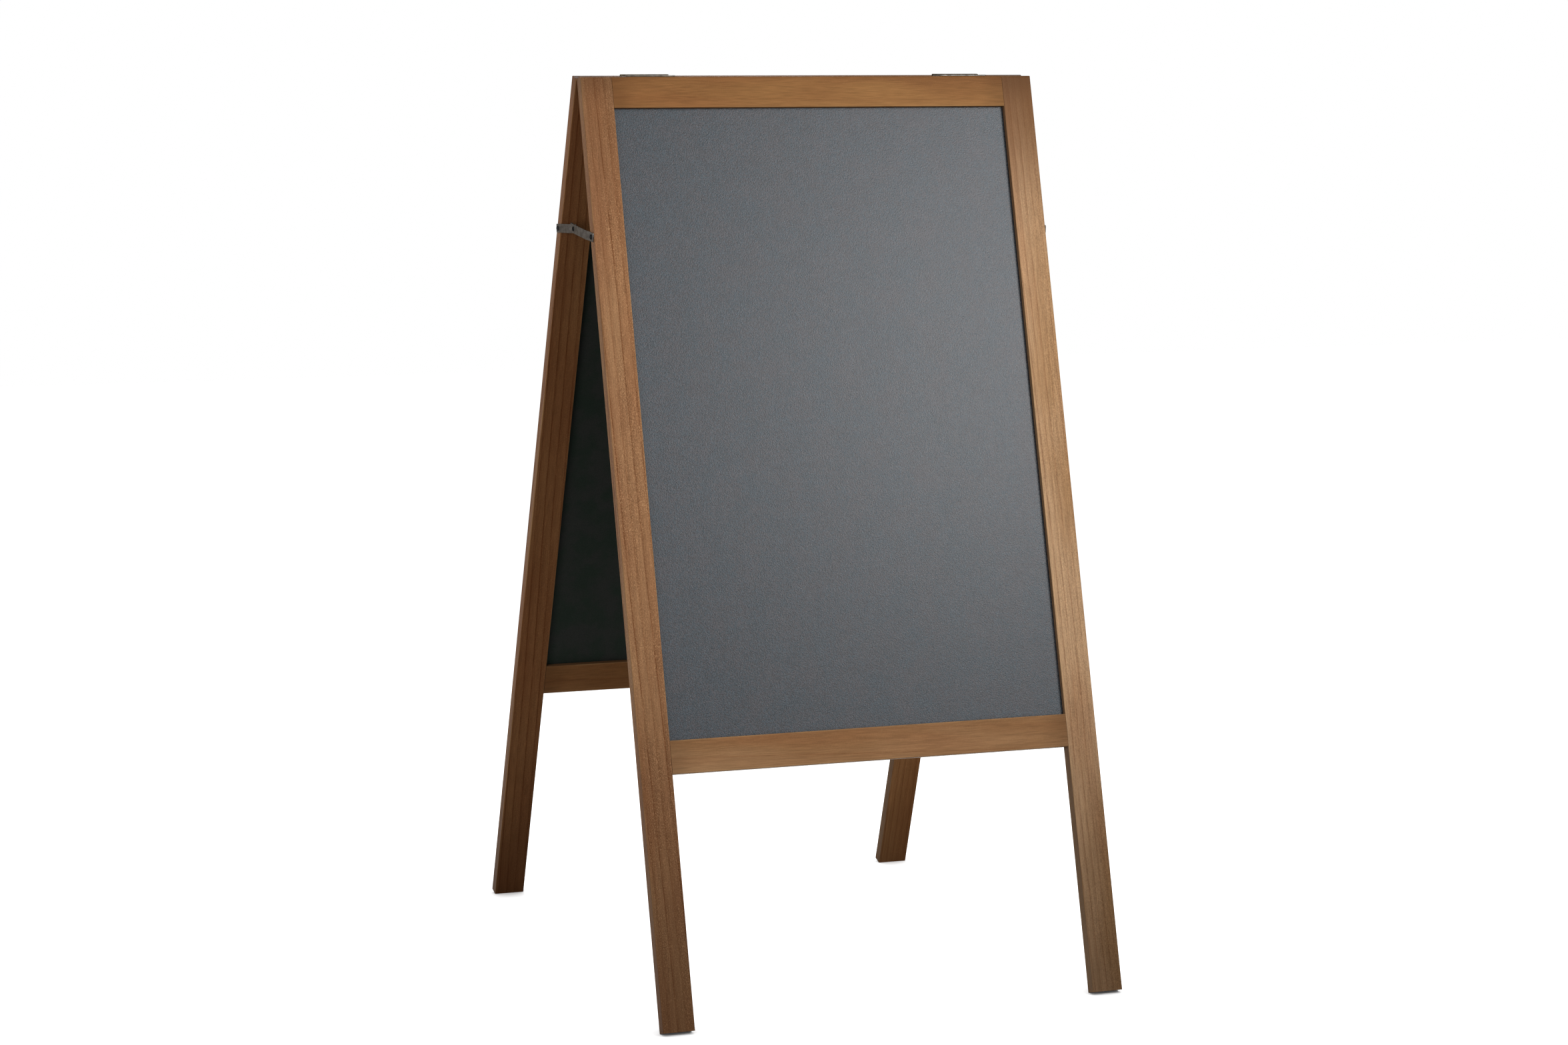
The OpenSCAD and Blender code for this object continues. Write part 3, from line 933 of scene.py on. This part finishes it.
@dataclass
class FramedBoard:
    """One framed board: two legs, two rails, the writing panel and its dowels."""

    axes: BoardAxes
    leg_length: float = 1160 * MM
    leg_width: float = 40 * MM
    timber: float = 15 * MM
    rail_height: float = 40 * MM
    panel_thickness: float = 3 * MM
    panel_edge: float = 0.5 * MM
    edge_steps: int = 5
    panel_columns: int = 65
    panel_rows: int = 97
    panel_crisp: float = 30
    bow: float = 0.06 * MM
    dowel: FlutedDowel = FlutedDowel()
    dowel_pitch: float = 16 * MM
    dowel_seed: float = 5.0
    seed_step: float = 9.0

    @property
    def look(self) -> BoardLook:
        """What sets this board's look apart."""
        return LOOKS[self.axes.side]

    def build(self) -> None:
        """Dresses the timber and makes the panel and the dowels."""
        wood = StainedHardwood()
        for block in self.blocks():
            show(frame["nodes"][block.name], wood.paint(block))
        self.make_panel()
        self.make_dowels()

    def cuts(self) -> dict[str, Cut]:
        """How each of the four timbers was cut from its own place in the log.

        Returns:
            For each leg and rail, its stain, growth rings, flecks, soiling and painted shade.
        """
        look = self.look
        return {
            "left_leg": Cut(
                Tone.RUSSET, pith=(120 * MM, 60 * MM), ring=9.5 * MM, lines=0.72, slope=0.016,
                flecks=look.flecks, crown=0.32, dirt=look.left_dirt),
            "right_leg": Cut(
                look.right_tone, pith=(-150 * MM, 40 * MM), ring=8.0 * MM, lines=0.42, slope=0.01, drift=-0.1,
                flecks=0.65 * look.flecks, line_width=1.4 * MM, crown=0.85, dirt=look.right_dirt),
            "top_rail": Cut(
                Tone.GOLDEN, pith=(90 * MM, 130 * MM), ring=16 * MM, lines=0.15, drift=-0.15, flecks=0.1,
                streaks=0.12, line_width=2 * MM, crown=0.75),
            "bottom_rail": Cut(
                Tone.TAWNY, pith=(-200 * MM, 60 * MM), ring=28.7 * MM, lines=0.42, sway=2 * MM, slope=0.038,
                drift=-0.1, flecks=0.15, streaks=0.12, line_width=0.8 * MM),
        }

    def blocks(self) -> list[Block]:
        """The four timbers as their grain sees them.

        Returns:
            The legs and rails with their axes, sizes, seeds and cuts.
        """
        side = self.axes.side.word
        low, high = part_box(f"{side}_top_rail")
        leg = (self.leg_width / 2, self.timber / 2, self.leg_length / 2)
        rail = (self.rail_height / 2, self.timber / 2, (high.x - low.x) / 2)
        up, across = self.axes.turn("up"), self.axes.turn("across")
        laid = {
            "left_leg": (up, leg, 1),
            "right_leg": (up, leg, -1),
            "top_rail": (across, rail, -1),
            "bottom_rail": (across, rail, 1),
        }
        cuts = self.cuts()
        outwards = Vector(self.axes.columns[1])
        return [
            Block(f"{side}_{name}", middle(f"{side}_{name}"), turn, half,
                  self.look.timber_seed + self.seed_step * number, panel,
                  round(turn.col[1].dot(outwards)), cuts[name], turn is up)
            for number, (name, (turn, half, panel)) in enumerate(laid.items())
        ]

    def panel_shell(self, half_width: float, height: float) -> Shell:
        """Works out the panel's skin about its own middle, in the board's axes.

        A flat oval section, two straight faces joined by quarter rounds, is carried up the panel. It shrinks
        by the same quarter round at both ends, and the bow is a product of two half cosine waves.

        Args:
            half_width: Half of the panel's width, in metres.
            height: Its height along the board.

        Returns:
            The closed surface.
        """
        half_thick, r = self.panel_thickness / 2, self.panel_edge
        bend = np.linspace(0, math.pi / 2, self.edge_steps)
        sine, cosine = r * np.sin(bend), r * np.cos(bend)
        side, top, face = half_width - r, height / 2 - r, half_thick - r
        across = np.linspace(-side, side, self.panel_columns)
        run = np.concatenate([-side - cosine[:-1], across, side + sine[1:]])
        rise = np.concatenate([face + sine[:-1], np.full(self.panel_columns, half_thick), face + cosine[1:]])
        run, rise = np.concatenate([run, run[::-1]]), np.concatenate([rise, -rise[::-1]])
        climb = np.concatenate([-top - cosine[:-1], np.linspace(-top, top, self.panel_rows), top + sine[1:]])
        ease = r - sine
        shrink = np.concatenate([ease[:-1], np.zeros(self.panel_rows), ease[::-1][1:]])
        x = np.sign(run) * (np.abs(run)[None, :] - shrink[:, None])
        y = np.sign(rise) * (np.abs(rise)[None, :] - shrink[:, None])
        z = np.broadcast_to(climb[:, None], x.shape)
        wave = np.cos(math.pi * x / (2 * half_width)) * np.cos(math.pi * z / height)
        rings = np.stack([x, y + self.bow * wave, z], -1)
        return Shell.tube(rings[:, ::-1])

    def make_panel(self) -> None:
        """Makes the writing panel, painted on its outer face and sprayed black on its back."""
        side, turn = self.axes.side.word, self.axes.turn("up")
        node = f"{side}_chalkboard"
        low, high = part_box(node)
        centre = middle(node)
        lean, seed = self.axes.lean, self.look.panel_seed
        height = (high.z - low.z - self.panel_thickness * math.sin(lean)) / math.cos(lean)
        shell = self.panel_shell((high.x - low.x) / 2, height).moved(self.axes.columns, np.array(centre))
        panel = shell.piece(f"{side}_writing_panel", self.panel_crisp)
        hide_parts(node)
        show(panel, ChalkboardPaint().paint(side, centre, turn, seed))
        self.blacken_back(panel, SprayedBack().paint(side, centre, turn, seed))
        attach(panel, f"{side}_board")

    def blacken_back(self, panel: bpy.types.Object, finish: bpy.types.Material) -> None:
        """Gives a panel's back its own finish.

        A face belongs to the back where its normal runs against the board's outward axis.

        Args:
            panel: The panel.
            finish: The back's finish.
        """
        faces = panel.data.polygons
        normals = np.empty(3 * len(faces))
        faces.foreach_get("normal", normals)
        back = normals.reshape(-1, 3) @ self.axes.columns[1] < -0.5
        panel.data.materials.append(finish)
        faces.foreach_set("material_index", back.astype(np.int32))
        log.info("%s backed in %s", panel.name, finish.name)

    def make_dowels(self) -> None:
        """Makes the fluted dowels of the four joints, as a single piece."""
        side = self.axes.side.word
        node = f"{side}_dowels"
        rod = self.dowel.shell()
        shells = [rod.moved(self.axes.columns, self.axes.place(place)) for place in self.dowel_places()]
        dowels = Shell.joined(shells).piece(f"{side}_fluted_dowels", self.dowel.crisp)
        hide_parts(node)
        show(dowels, RawBeech().paint(side, middle(node), self.axes.turn("across"), self.dowel_seed))
        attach(dowels, f"{side}_board")

    def dowel_places(self) -> list[Point]:
        """The local middles of the eight dowels, two at each joint of a leg with a rail.

        Returns:
            Points across, outwards and up along the board.
        """
        side = self.axes.side.word
        low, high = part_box(f"{side}_dowels")
        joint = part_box(f"{side}_top_rail")[1].x
        _, out, up = self.axes.local(middle(f"{side}_dowels"))
        span = (high.z - low.z - 2 * self.dowel.radius) / math.cos(self.axes.lean)
        heights = [up + s * (span / 2 - k * self.dowel_pitch) for s in (-1, 1) for k in (0, 1)]
        return [(hand.value * joint, out, height) for hand in Hand for height in heights]


@dataclass(frozen=True)
class WoodScrew:
    """A self-tapping wood screw standing on its point, with the top of its head at the origin.

    Shank and head are radii. The neck is the share of the length that has no thread. The core is a share of
    the shank, the ridge's half width is a share of the pitch, and the point's cone is so many shanks long.
    The arms of the cross recess are shares of the head: how far they reach to each side and to their ends at
    the top, and how far their walls and ends slope.
    """

    drive: Drive
    shank: float
    head: float
    head_height: float
    length: float
    pitch: float
    neck: float
    core: float = 0.68
    ridge: float = 0.28
    point: float = 2.2
    tip: float = 0.05 * MM
    edge: float = 0.1 * MM
    dome: float = 0.72
    dome_power: float = 2.6
    arm_width: float = 0.17
    arm_wall: float = 0.07
    arm_length: float = 0.6
    arm_slope: float = 0.35
    recess: float = 1.2 * MM
    around: int = 40
    pitch_rings: int = 6
    top_rings: int = 26
    crisp: float = 50

    def shell(self) -> Shell:
        """Works out the screw's whole skin, from its point up to the middle of its recess.

        The shank's radius is a core plus a triangular ridge that climbs one pitch in each turn, under a plain
        neck, and it runs out to the point in a cone. The head is a cone or a domed pan, and its top drops
        into a cross recess with sloping walls.

        Returns:
            The closed surface.
        """
        angle = np.linspace(0, 2 * math.pi, self.around, endpoint=False)
        neck = -self.head_height - self.neck * self.length
        z = np.arange(-self.length + self.tip, neck, self.pitch / self.pitch_rings)
        cone = np.clip((z + self.length) / (self.point * self.shank), 0.02, 1)
        wave = (z[:, None] / self.pitch - angle[None, :] / (2 * math.pi)) % 1
        climbing = np.clip(1 - np.abs(wave - 0.5) / self.ridge, 0, 1)
        core = self.core * self.shank
        thread = cone[:, None] * (core + (self.shank - core) * climbing)
        plain = self.neck_and_head(neck)
        radius = np.concatenate([thread, np.repeat(plain[:, :1], self.around, 1)])
        height = np.broadcast_to(np.concatenate([z, plain[:, 1]])[:, None], radius.shape)
        rings = np.stack([radius * np.cos(angle), radius * np.sin(angle), height], -1)
        return Shell.tube(np.concatenate([rings, self.head_top(angle)]))

    def neck_and_head(self, neck: float) -> np.ndarray:
        """The plain neck and the side of the head.

        Args:
            neck: The height at which the thread ends.

        Returns:
            A radius and a height in each row.
        """
        under = -self.head_height
        if self.drive is Drive.COUNTERSUNK:
            rim = (self.head - 0.2 * self.edge, 0.1 * under)
            return np.array([(self.shank, neck), (self.shank, under), rim])
        return np.array([(self.shank, neck), (self.shank, under), (self.head - self.edge, under),
                         (self.head, under + self.edge)])

    def head_top(self, angle: np.ndarray) -> np.ndarray:
        """The top of the head, in rings that close in on its middle.

        A pan is a superellipse in height. The recess is as deep as the product of two ramps: one falls with
        the distance from the nearer arm's middle line, the other towards the arm's end.

        Args:
            angle: The angles of the points in each ring.

        Returns:
            Rings of points, from the rim to the middle.
        """
        share = np.linspace(1, 0.015, self.top_rings)
        radius = self.head * share
        height = np.zeros_like(share)
        if self.drive is Drive.PAN:
            domed = (1 - share ** self.dome_power) ** (1 / self.dome_power)
            height = -self.head_height * self.dome * (1 - domed)
        x, y = radius[:, None] * np.cos(angle), radius[:, None] * np.sin(angle)
        nearer, farther = np.minimum(np.abs(x), np.abs(y)), np.maximum(np.abs(x), np.abs(y))
        arm = np.clip((self.arm_width * self.head - nearer) / (self.arm_wall * self.head), 0, 1)
        reach = np.clip((self.arm_length * self.head - farther) / (self.arm_slope * self.head), 0, 1)
        depth = min(0.8 * self.head_height, self.recess) * arm * reach
        return np.stack([x, y, height[:, None] - depth], -1)


@dataclass
class ScrewSet:
    """Screws of one kind on one board, as a single piece."""

    node: str
    screw: WoodScrew
    places: list[tuple[np.ndarray, np.ndarray]]
    body: str
    slot: str
    finish: Finish
    first_turn: float = 0.35
    next_turn: float = 0.7
    seed: float = 8.0

    def build(self) -> None:
        """Makes the screws, each with its head's middle at a place and its axis pointing out of the work."""
        plain = self.screw.shell()
        shells = []
        for number, (place, outward) in enumerate(self.places):
            out = Vector(outward)
            start = Vector((1, 0, 0)) if abs(out.x) < 0.5 else Vector((0, 0, 1))
            start = (start - out * start.dot(out)).normalized()
            turned = Matrix.Rotation(self.next_turn * number + self.first_turn, 3, out) @ start
            rows = np.array([turned, out.cross(turned), out])
            shells.append(plain.moved(rows, place))
        screws = Shell.joined(shells).piece(self.node.replace("screws", "threaded_screws"), self.screw.crisp)
        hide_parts(self.node)
        show(screws, self.finish.paint(self.node, middle(self.node), Matrix.Identity(3), self.seed))
        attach(screws, self.body)


@dataclass
class Fasteners:
    """All the screws of one board."""

    axes: BoardAxes
    leaf_end: float = 8 * MM
    hinge_screw: WoodScrew = WoodScrew(
        Drive.COUNTERSUNK, shank=1.5 * MM, head=2.75 * MM, head_height=1.2 * MM, length=14 * MM,
        pitch=1.1 * MM, neck=0.12)
    stay_screw: WoodScrew = WoodScrew(
        Drive.PAN, shank=1.75 * MM, head=3.0 * MM, head_height=1.5 * MM, length=22.9 * MM,
        pitch=1.4 * MM, neck=0.22)

    def build(self) -> None:
        """Places the hinge screws and the stay screws."""
        side = self.axes.side.word
        node = f"{side}_hinge_screws"
        places = self.hinge_places(node)
        ScrewSet(node, self.hinge_screw, places, f"{side}_board", "zinc_steel", PlatedSteel()).build()
        node = f"{side}_stay_screws"
        places = self.stay_places(node)
        ScrewSet(node, self.stay_screw, places, f"{side}_board", "black_steel", BlackenedSteel()).build()

    def hinge_places(self, node: str) -> list[tuple[np.ndarray, np.ndarray]]:
        """Where the screws of both hinges' leaves stand, three in each leaf.

        Args:
            node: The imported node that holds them.

        Returns:
            The middle of each head and the way that it points.
        """
        _, out, up = self.axes.local(middle(node))
        top = up + self.hinge_screw.length / 2
        places = []
        for hand in Hand:
            low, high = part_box(f"{hand.word}_hinge_{self.axes.side.word}_leaf")
            for x in (low.x + self.leaf_end, (low.x + high.x) / 2, high.x - self.leaf_end):
                places.append((self.axes.place((x, out, top)), self.axes.columns[2]))
        return places

    def stay_places(self, node: str) -> list[tuple[np.ndarray, np.ndarray]]:
        """Where the two stays' screws stand.

        Args:
            node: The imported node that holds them.

        Returns:
            The middle of each head and the way that it points.
        """
        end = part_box(node)[1].x
        _, y, z = middle(node)
        return [(np.array([hand.value * end, y, z]), np.array([hand.value, 0.0, 0.0])) for hand in Hand]


def softened(node: str, width: float) -> bpy.types.Object:
    """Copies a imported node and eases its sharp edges, as tumbling does to a stamping.

    The copy's doubled points are merged and its flat triangles joined. Then a bevel turns each sharp edge
    into a narrow round.

    Args:
        node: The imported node's name.
        width: Width of the eased edge, in metres.

    Returns:
        The new piece, which replaces the node and rides on its body.
    """
    doubled, flat_angle, sharp_angle, crisp_angle = 0.001 * MM, 0.5, 35, 32
    source = frame["nodes"][node]
    piece = bpy.data.objects.new(f"{node}_eased", source.data.copy())
    bpy.context.scene.collection.objects.link(piece)
    mesh = piece.data
    mesh.materials.clear()
    packed_normals = mesh.attributes.get("custom_normal")
    if packed_normals:
        mesh.attributes.remove(packed_normals)
    weld = piece.modifiers.new("weld", "WELD")
    weld.merge_threshold = doubled
    flat = piece.modifiers.new("flat", "DECIMATE")
    flat.decimate_type = "DISSOLVE"
    flat.angle_limit = math.radians(flat_angle)
    bevel = piece.modifiers.new("eased", "BEVEL")
    bevel.width = width
    bevel.segments = 2
    bevel.limit_method = "ANGLE"
    bevel.angle_limit = math.radians(sharp_angle)
    bevel.miter_outer = "MITER_ARC"
    evaluated = piece.evaluated_get(bpy.context.evaluated_depsgraph_get())
    eased = bpy.data.meshes.new_from_object(evaluated)
    piece.modifiers.clear()
    piece.data = eased
    eased.polygons.foreach_set("use_smooth", np.ones(len(eased.polygons), bool))
    eased.set_sharp_from_angle(angle=math.radians(crisp_angle))
    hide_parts(node)
    body = source["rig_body"]
    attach(piece, body)
    return piece


@dataclass
class ButtHinge:
    """One butt hinge: two leaves with interlocked knuckles and their pin."""

    hand: Hand
    ease: float = 0.12 * MM
    finish: PlatedSteel = PlatedSteel(bright="#67635D", dull="#524E49", grazing="#8E8A84")
    seed: float = 3.0

    def build(self) -> None:
        """Eases the stamped leaves and plates them and the pin, with the scuffs running along them."""
        turn = Matrix(((0, 0, 1), (1, 0, 0), (0, 1, 0)))
        for number, part in enumerate(("front_leaf", "rear_leaf", "pin")):
            node = f"{self.hand.word}_hinge_{part}"
            piece = frame["nodes"][node] if part == "pin" else softened(node, self.ease)
            seed = self.seed + number + self.hand.value
            show(piece, self.finish.paint(node, middle(node), turn, seed))


@dataclass
class FoldingStay:
    """One folding stay: two strip-steel links joined by a rivet."""

    hand: Hand
    ease: float = 0.25 * MM
    link_seed: float = 13.0
    rivet_seed: float = 23.0

    def build(self) -> None:
        """Eases the stamped links, plates them and blackens the rivet."""
        turn = Matrix(((1, 0, 0), (0, 0, 1), (0, -1, 0)))
        for number, part in enumerate(("front_link", "rear_link")):
            node = f"{self.hand.word}_stay_{part}"
            finish = PlatedSteel().paint(node, middle(node), turn, self.link_seed + number)
            show(softened(node, self.ease), finish)
        for number, part in enumerate(("rivet_head", "rivet_tail")):
            node = f"{self.hand.word}_stay_{part}"
            finish = BlackenedSteel().paint(node, middle(node), turn, self.rivet_seed + number)
            show(frame["nodes"][node], finish)


@dataclass(frozen=True)
class Softbox:
    """A square softbox: its place and the point it faces in metres, its side, its watts and its beam."""

    name: str
    place: Point
    aim: Point
    side: float
    watts: float
    beam: float

    def hang(self) -> None:
        """Hangs the softbox in the scene, with its beam's angle given in degrees."""
        data = bpy.data.lights.new(self.name, "AREA")
        data.spread = math.radians(self.beam)
        data.size = self.side
        data.energy = self.watts
        lamp = bpy.data.objects.new(self.name, data)
        lamp.location = self.place
        lamp.rotation_euler = (Vector(self.aim) - Vector(self.place)).to_track_quat("-Z", "Y").to_euler()
        bpy.context.scene.collection.objects.link(lamp)


@dataclass
class Studio:
    """The white studio: floor, soft lights and the camera."""

    image_width: int = 2352
    focal_pixels: float = 5669.04
    camera_place: Point = (-1.71597, -4.42665, 1.30658)
    yaw: float = -20.9587
    pitch: float = -9.0865
    roll: float = 0.7907
    sensor: float = 36.0
    soft_light: float = 0.3
    floor_size: float = 12.0
    floor_bounce: str = "#949494"
    floor_paint: str = "#E0E0E0"
    floor_glow: float = 0.86
    shadow_reach: float = 30 * MM
    softboxes: tuple[Softbox, ...] = (
        Softbox("key_softbox", (1.28, -1.85, 1.68), (0.08, -0.1, 0.93), side=0.9, watts=7.6, beam=66),
        Softbox("back_softbox", (0.3, 2.5, 1.9), (0.0, 0.1, 0.7), side=1.4, watts=13.0, beam=100),
        Softbox("right_fill", (2.2, 1.5, 1.2), (0.2, 0.1, 0.7), side=1.2, watts=5.5, beam=110),
        Softbox("left_fill", (-2.3, -1.5, 1.1), (-0.3, -0.1, 0.7), side=1.2, watts=7.4, beam=110),
        Softbox("left_rim", (-2.5, 0.4, 1.65), (-0.3, 0.05, 1.05), side=0.8, watts=0.35, beam=40),
    )

    def build(self) -> None:
        """Makes the camera, the white surroundings, the floor and the lights."""
        self.make_camera()
        self.make_surroundings()
        self.make_floor()
        for softbox in self.softboxes:
            softbox.hang()
        view = bpy.context.scene.view_settings
        view.view_transform = "Standard"

    def make_camera(self) -> None:
        """Aims the camera by its yaw, pitch and roll, as fitted to the sign's own straight edges."""
        yaw, pitch, roll = (math.radians(angle) for angle in (self.yaw, self.pitch, self.roll))
        forward = Vector((-math.sin(yaw) * math.cos(pitch), math.cos(yaw) * math.cos(pitch), math.sin(pitch)))
        level = Vector((math.cos(yaw), math.sin(yaw), 0))
        upright = level.cross(forward)
        right = math.cos(roll) * level + math.sin(roll) * upright
        up = math.cos(roll) * upright - math.sin(roll) * level
        data = bpy.data.cameras.new("camera")
        data.sensor_fit = "HORIZONTAL"
        data.sensor_width = self.sensor
        data.lens = self.focal_pixels / self.image_width * self.sensor
        camera = bpy.data.objects.new("camera", data)
        turn = Matrix((right, up, -forward)).transposed().to_4x4()
        camera.matrix_world = Matrix.Translation(self.camera_place) @ turn
        bpy.context.scene.collection.objects.link(camera)
        bpy.context.scene.camera = camera

    def seen_rays(self, tree: bpy.types.NodeTree) -> Socket:
        """Picks out the rays that show a surface to the eye.

        Args:
            tree: The tree that asks.

        Returns:
            1 for rays from the camera, off a shiny surface or through a clear one, and 0 for soft light.
        """
        path = add_node(tree, "ShaderNodeLightPath").outputs
        seen = path["Is Camera Ray"]
        for kind in ("Is Glossy Ray", "Is Transmission Ray"):
            seen = add_node(tree, "ShaderNodeMath", {0: seen, 1: path[kind]}, operation="MAXIMUM").outputs[0]
        return seen

    def make_surroundings(self) -> None:
        """Surrounds the scene with soft grey light that the camera and polished metal see as white."""
        world = bpy.data.worlds.new("white_studio")
        bpy.context.scene.world = world
        world.use_nodes = True
        tree = world.node_tree
        tree.nodes.clear()
        plain_white = (1, 1, 1, 1)
        soft = add_node(tree, "ShaderNodeBackground", {"Color": plain_white, "Strength": self.soft_light})
        white = add_node(tree, "ShaderNodeBackground", {"Color": plain_white, "Strength": 1.0})
        both = add_node(tree, "ShaderNodeMixShader", {
            0: self.seen_rays(tree), 1: soft.outputs[0], 2: white.outputs[0],
        })
        add_node(tree, "ShaderNodeOutputWorld", {"Surface": both.outputs[0]})

    def make_floor(self) -> None:
        """Lays a pale floor that the camera sees as white wherever the sign casts no shadow on it.

        Seen rays meet white paint with a glow, which fades where the sign stands close above the floor, a
        painted contact shadow.
        Soft light meets a mid grey, so that the floor doesn't light the sign from below.
        """
        half = self.floor_size / 2
        grid = np.array([[-half, -half, 0.0], [half, -half, 0.0], [half, half, 0.0], [-half, half, 0.0]])
        floor = Shell(grid, np.array([[0, 1, 2, 3]]), np.empty((0, 3), int)).piece("floor", 30)
        material = bpy.data.materials.new("matt_white_floor")
        material.use_nodes = True
        tree = material.node_tree
        tree.nodes.clear()
        card = add_node(tree, "ShaderNodeBsdfDiffuse", {"Color": self.floor_bounce})
        paint = add_node(tree, "ShaderNodeBsdfDiffuse", {"Color": self.floor_paint})
        # Painted contact shadow: the floor's glow fades by ambient occlusion close under the sign.
        painted_contact_shadow = add_node(tree, "ShaderNodeAmbientOcclusion", {"Distance": self.shadow_reach}, samples=16)
        glow = add_node(tree, "ShaderNodeEmission", {
            "Color": painted_contact_shadow.outputs["Color"], "Strength": self.floor_glow,
        })
        lit = add_node(tree, "ShaderNodeAddShader", {0: paint.outputs[0], 1: glow.outputs[0]})
        mixed = add_node(tree, "ShaderNodeMixShader", {
            0: self.seen_rays(tree), 1: card.outputs[0], 2: lit.outputs[0],
        })
        add_node(tree, "ShaderNodeOutputMaterial", {"Surface": mixed.outputs[0]})
        floor.data.materials.append(material)


def main() -> None:
    """Builds the sign board by board, then its fittings, then the studio."""
    logging.basicConfig(level=logging.INFO, format="%(name)s: %(message)s")
    fold = next(joint for joint in frame["joints"] if joint["name"] == "main_fold")
    lean, pin_z = math.radians(fold["range_deg"][1]) / 2, fold["pos_m"][2]
    for side in Side:
        axes = BoardAxes(side, lean, pin_z)
        FramedBoard(axes).build()
        Fasteners(axes).build()
    for hand in Hand:
        ButtHinge(hand).build()
        FoldingStay(hand).build()
    Studio().build()


if __name__ == "__main__":
    main()
